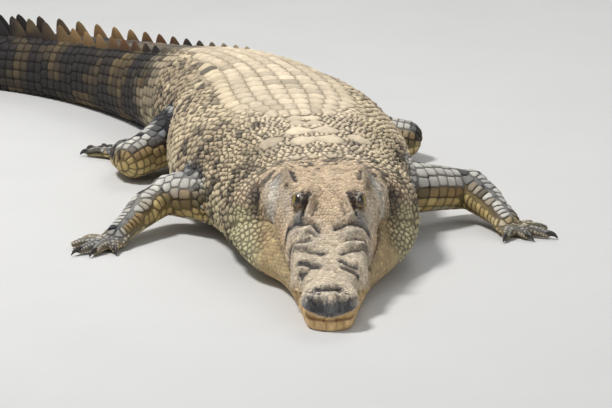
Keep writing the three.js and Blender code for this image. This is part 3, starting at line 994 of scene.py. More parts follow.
class Relief:
    """How far the skin stands up or sinks in on the head, in millimetres."""

    def __call__(self, place: Array, out: Array, t: Array) -> Array:
        """The height to add, for each point.

        Args:
            place: places along the body.
            out: distances out.
            t: where each point lies on its cross section.

        Returns:
            The height to add, for each point.
        """
        beside = np.abs(out)
        upper = ramp(BODY.lip_t, BODY.lip_t - 0.03, t) * ramp(640, 600, place)
        spots = np.stack([place, out, np.zeros_like(place)], 1)
        rise = np.zeros_like(place)
        strays = noise(spots, 26, 2) * 2.2
        for fold in FOLDS:
            rise += fold.height * fold.strength(place + strays, out + strays * 0.7)
        # Wrinkles across the middle of the snout, and finer ones over the whole head.
        waves = np.sin((place + 5 * noise(spots, 30, 2)) * 2 * np.pi / 13)
        rise += 1.3 * waves * bump(place, 262, 34) * bump(beside, 0, 26)
        rise += 0.9 * noise(spots, 22, 3) * ramp(20, 60, place)
        lumps = 1 - 2.2 * np.abs(noise(spots + 40, 17, 2))
        rise += 1.5 * np.clip(lumps, -0.8, 0.5) * bump(place, 262, 52) * ramp(10, 34, beside)
        cracked = 1 - 2 * np.abs(noise(spots + 90, 12, 2))
        rise += 0.8 * np.minimum(cracked, 0.4) * ramp(300, 340, place)
        rise *= upper
        # The scalloped lips.
        wave = 1.8 * np.sin(place / 11.5) * bump(t, BODY.lip_t - 0.05, 0.05)
        return rise + wave * ramp(60, 100, place) * ramp(520, 460, place)


@dataclass
class Skin:
    """The form of the skin over head, body and tail.

    It is laid out on a chart of rings along the body (u) and columns around it (v, 0 at the top midline).

    Args:
        half_columns: the columns on each side.
        upper_columns: those above the mouth's groove.
        lower_columns: those down to the groove's lower edge.
        cap: how far the snout's rounded end stands ahead of place 0.
        mouth_height: how high the mouth's line lies at the end of the snout.
        weld: the distance within which doubled points become one, in metres.
        coat_depth: how deep the skin lies inside the body's outline.
        mouth: where the mouth's groove lies on a section.
        mouth_half: half its width there.
    """

    half_columns: int = 41
    upper_columns: int = 23
    lower_columns: int = 27
    cap: float = 10.0
    mouth_height: float = 24.0
    weld: float = 7e-6
    coat_depth: Rail = Rail((0, 1.2), (480, 1.6), (640, 3.4), (900, 4.6), (1900, 4.2), (3000, 3), (4000, 1.2))
    mouth: Rail = Rail((0, 0.655), (40, 0.645), (75, 0.6), (104, 0.5), (600, 0.5))
    mouth_half: Rail = Rail((0, 0.009), (60, 0.01), (85, 0.022), (110, 0.04))

    def __post_init__(self) -> None:
        """Chooses where the rings of the body lie, densest at the snout's tip."""
        tip = [-self.cap * math.sqrt(1 - (k / 14) ** 2) for k in range(14)]
        tip += [0, 1.2, 2.6, 4.2, 6, 8.2, 10.8, 13.8, 17.2, 21, 25]
        head = list(np.arange(29.6, 560, 4.6))
        body = [head[-1]]
        while body[-1] < 3920:
            body.append(body[-1] + min(15, 4.6 + (body[-1] - head[-1]) * 0.03))
        tail = list(np.linspace(body[-1], BODY_LENGTH, 10)[1:]) + [4004, 4008, 4010]
        self.rings = np.array(tip + head + body[1:] + tail)
        self.relief = Relief()

    def _place(self, u: Array) -> Array:
        """The places of chart rows."""
        return np.interp(u, np.arange(len(self.rings)), self.rings)

    def _t(self, place: Array, v: Array) -> Array:
        """The value of t of chart columns, crowded together in the mouth's groove.

        Args:
            place: places along the body.
            v: column numbers.

        Returns:
            Values of t.
        """
        column = np.abs(v)
        above = self.mouth(place) - self.mouth_half(place)
        below = self.mouth(place) + self.mouth_half(place)
        upper = column / self.upper_columns * above
        across = (column - self.upper_columns) / (self.lower_columns - self.upper_columns)
        lower = below + (column - self.lower_columns) / (self.half_columns - self.lower_columns) * (1 - below)
        return np.where(across < 0, upper, np.where(across > 1, lower, above + across * (below - above)))

    def _base(self, place: Array, t: Array, side: Array) -> Array:
        """Points of the body's outline, in millimetres.

        Args:
            place: places along the body.
            t: where each point lies on its cross section.
            side: 1 on the left and -1 on the right.

        Returns:
            Positions, (n, 3).
        """
        inner = np.clip(place, 0, BODY_LENGTH)
        out, z = BODY.section(inner, t)
        rounding = ramp(115, 80, inner) * bump(t, 0.55, 0.15)
        flat_out, flat_z = out, z
        for shift in (-0.09, -0.045, 0.045, 0.09):
            near = BODY.section(inner, np.clip(t + shift, 0, 1))
            out = out + (near[0] - flat_out) * rounding / 5
            z = z + (near[1] - flat_z) * rounding / 5
        apart = (t - self.mouth(inner)) / self.mouth_half(inner)
        groove = np.clip(1 - apart**2, 0, 1) ** 0.4 * ramp(515, 470, inner)
        depth = (2.4 + 8.6 * ramp(80, 110, inner)) * groove
        middle = np.where(inner < 100, 40.0, 13.0)
        beyond = np.clip(np.where(place < 0, place, place - inner) / self.cap, -1, 1)
        shrink = np.sqrt(np.maximum(0, 1 - np.abs(beyond) ** 2))
        z = middle + (z - middle) * shrink
        depth = np.where(place < 0, 2.4 * bump(z, self.mouth_height, 2.2), depth)
        across = side * (out - np.minimum(depth, 0.5 * out) * (place >= 0)) * shrink
        back = inner + 2.5 * np.sin(beyond * np.pi / 2) + depth * ramp(60, 10, inner)
        return SPINE.at(back, across, z)

    def points(self, u: Array, v: Array) -> Array:
        """Skin points for chart coordinates, in millimetres.

        Args:
            u: ring numbers.
            v: column numbers, below 0 on the right side.

        Returns:
            Positions, (n, 3).
        """
        place = self._place(u)
        t = self._t(place, v)
        side = np.where(v < 0, -1.0, 1.0)
        base = self._base(place, t, side)
        ahead = self._base(place + 0.6, t, side) - self._base(place - 0.6, t, side)
        around = self._base(place, np.clip(t + 0.004, 0, 1), side)
        around -= self._base(place, np.clip(t - 0.004, 0, 1), side)
        normal = unit(np.cross(ahead, around) * -side[:, None])
        inner = np.clip(place, 0, BODY_LENGTH)
        out, _ = BODY.section(inner, t)
        lift = self.relief(inner, side * out, t) - self.coat_depth(inner)
        point = base + normal * lift[:, None]
        for eye in EYES:
            point = eye.drape(point)
        point[:, 2] = np.maximum(point[:, 2], 0.6 * self.coat_depth(inner))
        return point

    def body(self) -> Mesh:
        """The skin of head, trunk and tail as one closed mesh.

        Returns:
            The mesh, in metres.
        """
        bm = bmesh.new()
        rows, columns = len(self.rings) - 1, 2 * self.half_columns
        verts, shares = flat_grid(bm, rows, columns)
        u, v = (shares * [rows, columns] - [0, self.half_columns]).T
        lay(verts, np.stack([u, v, np.zeros_like(u)], 1))
        for level in range(3):
            self._refine(bm, level)
        u, v, _ = corners(bm.verts).T
        lay(bm.verts, self.points(u, v) * MM)
        bmesh.ops.remove_doubles(bm, verts=bm.verts, dist=self.weld)
        bmesh.ops.recalc_face_normals(bm, faces=bm.faces)
        return bm

    def _refine(self, bm: Mesh, level: int) -> None:
        """Splits the edges of the chart where the head needs finer skin.

        Args:
            bm: the chart.
            level: the round: 0 for the head, 1 and 2 for eyes and nostrils.
        """
        ends = np.array([[end.co[:2] for end in edge.verts] for edge in bm.edges])
        middles = (ends[:, 0] + ends[:, 1]) / 2
        place = self._place(middles[:, 0])
        t = self._t(place, middles[:, 1])
        if level == 0:
            wanted = (place < 560) & (t < 0.8)
        else:
            side = np.where(middles[:, 1] < 0, -1.0, 1.0)
            spots = self._base(place, t, side)
            reach = 44.0 if level == 1 else 30.0
            wanted = np.zeros(len(place), bool)
            for eye in EYES:
                wanted |= np.linalg.norm(spots - eye.centre, axis=1) < reach
            if level == 1:
                wanted |= (place > 12) & (place < 72) & (t < 0.2)
        bm.edges.ensure_lookup_table()
        edges = [bm.edges[i] for i in np.flatnonzero(wanted)]
        bmesh.ops.subdivide_edges(bm, edges=edges, cuts=1, use_grid_fill=True)


def tube_mesh(bm: Mesh, tube: Tube, inset: float, rings: int, sides: int) -> None:
    """Adds one limb tube's closed surface, in metres.

    Args:
        bm: the mesh to add to.
        tube: the tube.
        inset: how far inside the tube's outline.
        rings: its faces along.
        sides: its faces around.
    """
    verts, shares = flat_grid(bm, rings, sides)
    u, v = shares.T
    lay(verts, tube.surface(u * 1.4 - 0.2, v * 2 * np.pi, inset) * MM)
    bmesh.ops.remove_doubles(bm, verts=verts, dist=1e-5)


# --- Objects ---


def add_object(name: str, bm: Mesh, smooth: bool = True) -> Piece:
    """Turns a bmesh into an object of the scene at the origin, and frees it.

    Args:
        name: its name.
        bm: the mesh.
        smooth: whether its faces are shaded smooth.

    Returns:
        The object.
    """
    mesh = bpy.data.meshes.new(name)
    bm.to_mesh(mesh)
    bm.free()
    mesh.polygons.foreach_set("use_smooth", np.full(len(mesh.polygons), smooth))
    item = bpy.data.objects.new(name, mesh)
    bpy.context.scene.collection.objects.link(item)
    return item


def append(bm: Mesh, part: Mesh) -> None:
    """Adds one bmesh to another, and frees it.

    Args:
        bm: the mesh that grows.
        part: the mesh that is added.
    """
    mesh = bpy.data.meshes.new("part")
    part.to_mesh(mesh)
    part.free()
    bm.from_mesh(mesh)
    bpy.data.meshes.remove(mesh)


def apply_modifiers(item: Piece) -> None:
    """Replaces an object's mesh by what its modifiers make of it.

    Args:
        item: the object.
    """
    graph = bpy.context.evaluated_depsgraph_get()
    mesh = bpy.data.meshes.new_from_object(item.evaluated_get(graph))
    old = item.data
    item.modifiers.clear()
    item.data = mesh
    bpy.data.meshes.remove(old)
    mesh.name = item.name


def measure(item: Piece, what: str = "co") -> Array:
    """An object's vertex positions, or its normals.

    Args:
        item: the object.
        what: the name of the vertices' property.

    Returns:
        One row for each vertex.
    """
    found = np.empty(len(item.data.vertices) * 3)
    item.data.vertices.foreach_get(what, found)
    return found.reshape(-1, 3)


def colour_points(item: Piece, name: str, colours: Array) -> None:
    """Gives an object a colour for each vertex."""
    layer = item.data.color_attributes.new(name, "FLOAT_COLOR", "POINT")
    layer.data.foreach_set("color", np.hstack([colours, np.ones((len(colours), 1))]).ravel())


def dress(item: Piece, finish: Material, slot: Slot, *nodes: str) -> None:
    """Gives a piece its finish, body and solids, and reports it.

    Args:
        item: the object.
        finish: the material.
        slot: not used.
        nodes: the solids that it replaces.
    """
    item.data.materials.append(finish)
    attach(item, "root")
    if nodes:
        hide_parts(*nodes)
    item.data.calc_loop_triangles()
    log.info("%s: %d triangles", item.name, len(item.data.loop_triangles))


# --- The pieces ---


@dataclass
class Hull:
    """The skin as an object: the limbs joined to the body without a seam.

    Args:
        shape: the body's form.
        voxel: the size of mesh that a limb's tubes are joined at, in metres.
        thinning: the share of that mesh's faces that is kept.
        join_reach: how near to both body and limb a join is smoothed, in metres.
        join_rounds: how many times it is smoothed.
    """

    shape: Skin
    voxel: float = 0.0045
    thinning: float = 0.4
    join_reach: float = 0.016
    join_rounds: int = 12

    def build(self, finish: Material, markings_and_shading: Markings) -> Piece:
        """Joins the limbs to the body, eases the joins and paints the skin.

        Args:
            finish: the material.
            markings_and_shading: the hide's colours.

        Returns:
            The skin.
        """
        item = add_object("skin", self.shape.body())
        cutters = [self._limb(limb) for limb in LIMBS]
        graph = bpy.context.evaluated_depsgraph_get()
        trees = [BVHTree.FromObject(part, graph) for part in (item, *cutters)]
        for cutter in cutters:
            joined = item.modifiers.new(cutter.name, "BOOLEAN")
            joined.operation = "UNION"
            joined.solver = "EXACT"
            joined.object = cutter
        apply_modifiers(item)
        for cutter in cutters:
            bpy.data.objects.remove(cutter)
        self._ease(item, trees)
        item.data.polygons.foreach_set("use_smooth", np.full(len(item.data.polygons), True))
        colour_points(item, "hide", self._paint(item, markings_and_shading))
        dress(item, finish, Slot.FLANK, *FLESH, *(node for limb in LIMBS for node in limb.nodes))
        return item

    def _limb(self, limb: Limb) -> Piece:
        """One limb's tubes melted into one closed skin.

        Args:
            limb: the limb.

        Returns:
            The limb as an object.
        """
        bm = bmesh.new()
        for tube in limb.tubes():
            narrow = tube.pitch[0] < 10
            tube_mesh(bm, tube, 1.5 if narrow else 2.6, 24 if narrow else 30, 14 if narrow else 30)
        bmesh.ops.recalc_face_normals(bm, faces=bm.faces)
        item = add_object(limb.name, bm)
        remesh = item.modifiers.new("voxels", "REMESH")
        remesh.mode = "VOXEL"
        remesh.voxel_size = self.voxel
        soften = item.modifiers.new("soften", "SMOOTH")
        soften.iterations = 3
        thin = item.modifiers.new("thin", "DECIMATE")
        thin.ratio = self.thinning
        apply_modifiers(item)
        return item

    def _ease(self, item: Piece, trees: list[BVHTree]) -> None:
        """Smooths the skin where a limb meets the body.

        Args:
            item: the skin.
            trees: the surfaces of body and limbs before they were joined.
        """
        bm = bmesh.new()
        bm.from_mesh(item.data)
        near = [
            vert for vert in bm.verts
            if sum(tree.find_nearest(vert.co, self.join_reach)[0] is not None for tree in trees) > 1
        ]
        for _ in range(self.join_rounds):
            bmesh.ops.smooth_vert(
                bm, verts=near, factor=0.5, use_axis_x=True, use_axis_y=True, use_axis_z=True
            )
        bm.to_mesh(item.data)
        bm.free()

    def _paint(self, item: Piece, markings_and_shading: Markings) -> Array:
        """The skin's colours, with painted shade where it shows between the larger scales.

        Args:
            item: the skin.
            markings_and_shading: the hide's colours.

        Returns:
            A colour for each vertex.
        """
        spots = measure(item)
        place, out = SPINE.locate(spots / MM)
        beside = np.abs(out)
        # Painted shade on the skin in the gaps between the scales: behind the head and in the jowl's net,
        # weaker under the shield.
        jowl_gap_shade = ramp(132, 150, beside) * ramp(420, 470, place)
        shield = ramp(182, 150, beside) * ramp(960, 1010, place) * ramp(1960, 1850, place)
        dark = np.maximum(ramp(560, 660, place), jowl_gap_shade) * (0.62 - 0.4 * shield)
        return markings_and_shading(spots, measure(item, "normal")) * (1 - dark)[:, None]


@dataclass
class EyeBalls:
    """The two eyeballs.

    Args:
        glance: how far each iris is turned forward in its lids, in degrees.
        cornea: how far the cornea stands out, as a share of the ball's radius.
    """

    glance: float = 20.0
    cornea: float = 0.05

    def build(self, finish: Material) -> None:
        """Builds both."""
        for eye in EYES:
            dress(self._ball(eye), finish, Slot.EYE, f"eye_{eye.side.word}")

    def _ball(self, eye: Eye) -> Piece:
        """One ball, whose "look" attribute says how far each point is from the pupil's axis.

        Args:
            eye: the eye.

        Returns:
            The object.
        """
        bm = bmesh.new()
        bmesh.ops.create_uvsphere(bm, u_segments=64, v_segments=48, radius=1)
        away = corners(bm.verts)
        sine, cosine = math.sin(math.radians(self.glance)), math.cos(math.radians(self.glance))
        look = away @ np.array([[cosine, 0, sine], [0, 1, 0], [-sine, 0, cosine]])
        reach = eye.radius * (1 + self.cornea * ramp(0.80, 0.94, look[:, 2]))
        lay(bm.verts, (eye.centre + (away * reach[:, None]) @ eye.axes) * MM)
        bmesh.ops.recalc_face_normals(bm, faces=bm.faces)
        item = add_object(f"eyeball_{eye.side.word}", bm)
        layer = item.data.attributes.new("look", "FLOAT_VECTOR", "POINT")
        layer.data.foreach_set("vector", look.ravel())
        return item


@dataclass
class Claws:
    """The claws of hands and feet.

    Args:
        clawed: how many digits of each hand and foot have one.
        flatness: a claw's width against its height.
        ridge: how far the ridge along its back stands up.
    """

    clawed: int = 3
    flatness: float = 0.86
    ridge: float = 0.18

    def build(self, finish: Material) -> None:
        """Builds every claw as a piece of its own.

        Args:
            finish: the material.
        """
        for limb in LIMBS:
            paw = "hand" if limb.name.startswith("arm") else "foot"
            for number, tip in enumerate(limb.paw.tips[: self.clawed], 1):
                name = f"{paw}_{limb.side.word}_{number}"
                dress(self._claw(f"horn_{name}", limb.paw.claw_route(tip)), finish, Slot.HORN, f"claw_{name}")

    def _claw(self, name: str, route: Curve) -> Piece:
        """One claw along its centre line.

        Args:
            name: its name.
            route: its centre line and half widths.

        Returns:
            The object.
        """
        bm = rod(14, 14)
        spots = corners(bm.verts)
        share = spots[:, 2] + 0.5
        centre = route.at(share)
        along = unit(np.gradient(route.at(np.linspace(0, 1, 50))[:, :3], axis=0))
        ahead = along[np.clip((share * 49).round().astype(int), 0, 49)]
        across = unit(np.cross(ahead, [0, 0, 1]))
        lift = np.cross(across, ahead)
        width = centre[:, 3:4]
        ridge = 1 + self.ridge * np.maximum(0, spots[:, 1:2]) ** 4
        point = centre[:, :3] + across * spots[:, :1] * width * self.flatness
        point += lift * spots[:, 1:2] * width * ridge
        point[:, 2] = np.maximum(point[:, 2], 0.6)
        lay(bm.verts, point * MM)
        bmesh.ops.recalc_face_normals(bm, faces=bm.faces)
        return add_object(name, bm)


@dataclass
class Teeth:
    """The teeth that show while the mouth is shut, as (place, length).

    Args:
        upper: the upper teeth of each side.
        notch: the lower tooth that stands in the notch behind the nose.
        radius: a tooth's radius at its root.
        set_in: how far inside the lip's edge it is rooted.
    """

    upper: tuple = ((140, 8), (162, 10), (187, 13), (213, 10), (242, 8))
    notch: tuple = (109, 13)
    radius: float = 4.0
    set_in: float = 3.5

    def build(self, finish: Material) -> None:
        """Builds them as one piece.

        Args:
            finish: the material.
        """
        bm = bmesh.new()
        for side in Side:
            for tooth in self.upper:
                self._tooth(bm, *tooth, side, -1)
            self._tooth(bm, *self.notch, side, 1)
        dress(add_object("teeth", bm), finish, Slot.HORN)

    def _tooth(self, bm: Mesh, place: float, length: float, side: Side, up: int) -> None:
        """Adds a curved cone rooted in the jaw.

        Args:
            bm: the mesh to add to.
            place: its place along the head.
            length: how far it stands out.
            side: the animal's side.
            up: 1 for a lower tooth and -1 for an upper one.
        """
        cone = rod(12, 6, 0.08)
        out = side.value * (BODY.lip(place) - self.set_in)
        root = SPINE.at(np.array([float(place)]), out, BODY.lip_height(place))[0]
        for vert in cone.verts:
            share = vert.co.z + 0.5
            flat = vert.co.xy.normalized() * (self.radius * (1 - share**2.2) + 0.5)
            rise = up * (share * 1.35 - 0.35) * length
            lean = 0.12 * length * share**2
            vert.co = Vector((root[0] + flat.x - side.value * lean, root[1] + flat.y, root[2] + rise)) * MM
        bmesh.ops.recalc_face_normals(cone, faces=cone.faces)
        append(bm, cone)


# --- Finishes ---


class Finish:
    """A material under construction: a Principled shader and the nodes that feed it."""

    def __init__(self, name: str) -> None:
        """Starts an empty material.

        Args:
            name: the material's name.
        """
        self.material = bpy.data.materials.new(name)
        self.material.use_nodes = True
        self.nodes = self.material.node_tree.nodes
        self.links = self.material.node_tree.links
        self.shader = self.nodes["Principled BSDF"]

    def node(self, kind: str, **settings: object) -> bpy.types.Node:
        """Adds a node with its properties set.

        Args:
            kind: its type.
            settings: the properties to set.

        Returns:
            The node.
        """
        made = self.nodes.new(kind)
        for key, value in settings.items():
            setattr(made, key, value)
        return made

    def link(self, source: Socket, target: Socket) -> None:
        """Joins two sockets."""
        self.links.new(source, target)

    def noise(self, scale: float, detail: float = 4, roughness: float = 0.6) -> Socket:
        """Noise over the object's own coordinates.

        Args:
            scale: lumps to the metre.
            detail: how many finer layers it has.
            roughness: how strong they are.

        Returns:
            Values around 0.5.
        """
        place = self.node("ShaderNodeTexCoord")
        made = self.node("ShaderNodeTexNoise")
        made.inputs["Scale"].default_value = scale
        made.inputs["Detail"].default_value = detail
        made.inputs["Roughness"].default_value = roughness
        self.link(place.outputs["Object"], made.inputs["Vector"])
        return made.outputs["Fac"]

    def between(
        self, value: Socket, low: float, high: float, start: float, end: float
    ) -> Socket:
        """The value, carried from the range low-high to start-end.

        Args:
            value: what comes in.
            low: the lowest value that comes in.
            high: the highest that comes in.
            start: what goes out for low.
            end: what goes out for high.

        Returns:
            The new value.
        """
        made = self.node("ShaderNodeMapRange")
        made.inputs["From Min"].default_value = low
        made.inputs["From Max"].default_value = high
        made.inputs["To Min"].default_value = start
        made.inputs["To Max"].default_value = end
        self.link(value, made.inputs["Value"])
        return made.outputs["Result"]

    def math(self, operation: str, a: object, b: object) -> Socket:
        """A sum on two values, each a number or a socket.

        Args:
            operation: the sum.
            a: the first value.
            b: the second.

        Returns:
            The result.
        """
        made = self.node("ShaderNodeMath", operation=operation)
        for value, socket in ((a, made.inputs[0]), (b, made.inputs[1])):
            if isinstance(value, Socket):
                self.link(value, socket)
            else:
                socket.default_value = value
        return made.outputs[0]

    def blend(self, kind: str, share: object, a: object, b: object) -> Socket:
        """Two colours mixed.

        Args:
            kind: how they are mixed.
            share: the second colour's share.
            a: the first colour.
            b: the second.

        Returns:
            The colour.
        """
        made = self.node("ShaderNodeMix", data_type="RGBA", blend_type=kind)
        for value, socket in ((share, made.inputs[0]), (a, made.inputs[6]), (b, made.inputs[7])):
            if isinstance(value, Socket):
                self.link(value, socket)
            elif socket.type == "RGBA":
                socket.default_value = (*value, 1)
            else:
                socket.default_value = value
        return made.outputs[2]

    def bump(self, height: Socket, distance: float, strength: float = 1) -> None:
        """Gives the shader a bumped normal.

        Args:
            height: the height of the surface.
            distance: what a height of 1 stands for, in metres.
            strength: how much of it is felt.
        """
        made = self.node("ShaderNodeBump")
        made.inputs["Distance"].default_value = distance
        made.inputs["Strength"].default_value = strength
        self.link(height, made.inputs["Height"])
        self.link(made.outputs["Normal"], self.shader.inputs["Normal"])


@dataclass(frozen=True)
class HideFinish:
    """Dry crocodile hide, coloured by the piece's own "hide" colours."""

    name: str
    roughness: float = 0.72

    def build(self) -> Material:
        """Makes the material.

        Returns:
            The material.
        """
        made = Finish(self.name)
        hide = made.node("ShaderNodeAttribute", attribute_name="hide")
        coarse = made.noise(60, 5)
        fine = made.noise(420, 4)
        tone = made.math("MULTIPLY", made.between(coarse, 0.3, 0.7, 0.82, 1.15),
                         made.between(fine, 0.3, 0.7, 0.88, 1.1))
        scaled = made.node("ShaderNodeVectorMath", operation="SCALE")
        made.link(hide.outputs["Color"], scaled.inputs[0])
        made.link(tone, scaled.inputs["Scale"])
        made.link(scaled.outputs[0], made.shader.inputs["Base Color"])
        rough = made.between(coarse, 0.3, 0.7, self.roughness - 0.1, self.roughness + 0.1)
        made.link(rough, made.shader.inputs["Roughness"])
        made.shader.inputs["Specular IOR Level"].default_value = 0.35
        made.bump(made.math("ADD", fine, made.math("MULTIPLY", coarse, 1.5)), 0.0006)
        return made.material


@dataclass(frozen=True)
class EyeFinish:
    """A golden iris with a tall slit of a pupil, under a wet surface."""

    name: str = "eye_gloss"
    slit: float = 0.24
    height: float = 0.6
    iris: float = 0.66

    def build(self) -> Material:
        """Makes the material.

        Returns:
            The material.
        """
        made = Finish(self.name)
        look = made.node("ShaderNodeAttribute", attribute_name="look")
        parts = made.node("ShaderNodeSeparateXYZ")
        made.link(look.outputs["Vector"], parts.inputs[0])
        across, up = parts.outputs[:2]
        spread = made.math("ADD", made.math("MULTIPLY", across, across), made.math("MULTIPLY", up, up))
        radius = made.math("SQRT", spread, 0)
        tall = made.math("DIVIDE", up, self.height)
        thin = made.math("DIVIDE", across, self.slit)
        pupil = made.math("ADD", made.math("MULTIPLY", tall, tall), made.math("ABSOLUTE", thin, 0))
        inside = made.between(pupil, 0.9, 1.1, 1, 0)
        fibres = made.noise(900, 3)
        gold = made.blend("MIX", fibres, tuple(linear(112, 94, 30)), tuple(linear(184, 160, 66)))
        rim = made.between(radius, self.iris - 0.16, self.iris, 0, 1)
        iris = made.blend("MIX", rim, gold, tuple(linear(58, 40, 18)))
        outside = made.between(radius, self.iris, self.iris + 0.04, 0, 1)
        ball = made.blend("MIX", outside, iris, tuple(linear(40, 30, 20)))
        colour = made.blend("MIX", inside, ball, (0.004, 0.004, 0.005))
        made.link(colour, made.shader.inputs["Base Color"])
        made.link(made.between(fibres, 0.3, 0.7, 0.06, 0.12), made.shader.inputs["Roughness"])
        made.shader.inputs["Coat Weight"].default_value = 1
        made.shader.inputs["Coat Roughness"].default_value = 0.03
        made.bump(fibres, 0.00004)
        return made.material


@dataclass(frozen=True)
class HornFinish:
    """Claw horn or tooth ivory: one tone clouded with another."""

    name: str
    base: tuple[int, int, int]
    cloud: tuple[int, int, int]
    roughness: float

    def build(self) -> Material:
        """Makes the material.

        Returns:
            The material.
        """
        made = Finish(self.name)
        grain = made.noise(160, 5)
        share = made.between(grain, 0.35, 0.68, 0, 1)
        colour = made.blend("MIX", share, tuple(linear(*self.base)), tuple(linear(*self.cloud)))
        made.link(colour, made.shader.inputs["Base Color"])
        made.link(made.between(grain, 0.3, 0.7, self.roughness - 0.08, self.roughness + 0.08),
                  made.shader.inputs["Roughness"])
        made.bump(made.noise(700, 3), 0.0002)
        return made.material


# --- The studio ---


@dataclass(frozen=True)
class Studio:
    """A pale floor, soft light and the camera."""

    lens: float = 243.53
    stand: tuple[float, float, float] = (0.0566, -9.993, 2.326)
    pitch: float = 76.8
    lamps: tuple = (
        ("key", (-2.4, -0.2, 5.6), 1.1, 330),
        ("fill", (4.0, -7.0, 4.0), 4.0, 95),
        ("rim", (1.5, 6.0, 5.0), 3.0, 130),
    )

    def build(self) -> None:
        """Sets everything up."""
        self._floor()
        for lamp in self.lamps:
            self._light(*lamp)
        world = bpy.data.worlds.new("studio")
        world.use_nodes = True
        sky = world.node_tree.nodes["Background"].inputs
        sky["Color"].default_value = (0.86, 0.9, 0.95, 1)
        sky["Strength"].default_value = 0.34
        bpy.context.scene.world = world
        bpy.context.scene.view_settings.view_transform = "Standard"
        camera = bpy.data.objects.new("camera", bpy.data.cameras.new("camera"))
        camera.data.lens = self.lens
        camera.data.sensor_width = 36
        camera.data.clip_end = 200
        camera.location = self.stand
        camera.rotation_euler = Euler((math.radians(self.pitch), 0, 0))
        bpy.context.scene.collection.objects.link(camera)
        bpy.context.scene.camera = camera

    def _floor(self) -> None:
        """The pale floor."""
        bm = bmesh.new()
        bmesh.ops.create_grid(bm, x_segments=4, y_segments=4, size=30)
        item = add_object("floor", bm)
        made = Finish("pale_floor")
        grain = made.noise(3, 3)
        share = made.between(grain, 0.3, 0.7, 0, 1)
        colour = made.blend("MIX", share, (0.60, 0.59, 0.57), (0.625, 0.615, 0.595))
        made.link(colour, made.shader.inputs["Base Color"])
        made.link(made.between(grain, 0.3, 0.7, 0.7, 0.85), made.shader.inputs["Roughness"])
        made.bump(made.noise(300, 2), 0.0002)
        item.data.materials.append(made.material)

    def _light(self, name: str, spot: tuple[float, float, float], size: float, power: float) -> None:
        """Adds one soft lamp that points at the animal.

        Args:
            name: its name.
            spot: where it hangs.
            size: its width.
            power: its watts.
        """
        lamp = bpy.data.lights.new(name, "AREA")
        lamp.size = size
        lamp.energy = power
        item = bpy.data.objects.new(name, lamp)
        item.location = spot
        item.rotation_euler = (Vector((0, -0.6, 0.1)) - Vector(spot)).to_track_quat("-Z", "Y").to_euler()
        bpy.context.scene.collection.objects.link(item)


# --- The animal ---

FLESH = ("head", "lower_jaw", "neck", "trunk", "tail_base", "tail_middle", "tail_end")


def mix(first: Array, second: Array, share: Array) -> Array:
    """Colours between two others, share by share."""
    weight = np.clip(share, 0, 1)[:, None]
    return first * (1 - weight) + second * weight


@dataclass
class Ground:
    """Where points of the head lie, and the noises that break up their markings.

    Args:
        points: positions in metres, (n, 3).
        place: their places along the body.
        out: their distances out.
    """

    points: Array
    place: Array
    out: Array

    def __post_init__(self) -> None:
        """Works out heights and noises."""
        self.z = self.points[:, 2] / MM
        self.beside = np.abs(self.out)
        self.lip = BODY.lip_height(self.place)
        self.large = noise(self.points, 0.07, 3)
        self.small = noise(self.points + 3, 0.016, 3)
        self.fine = noise(self.points + 8, 0.006, 2)


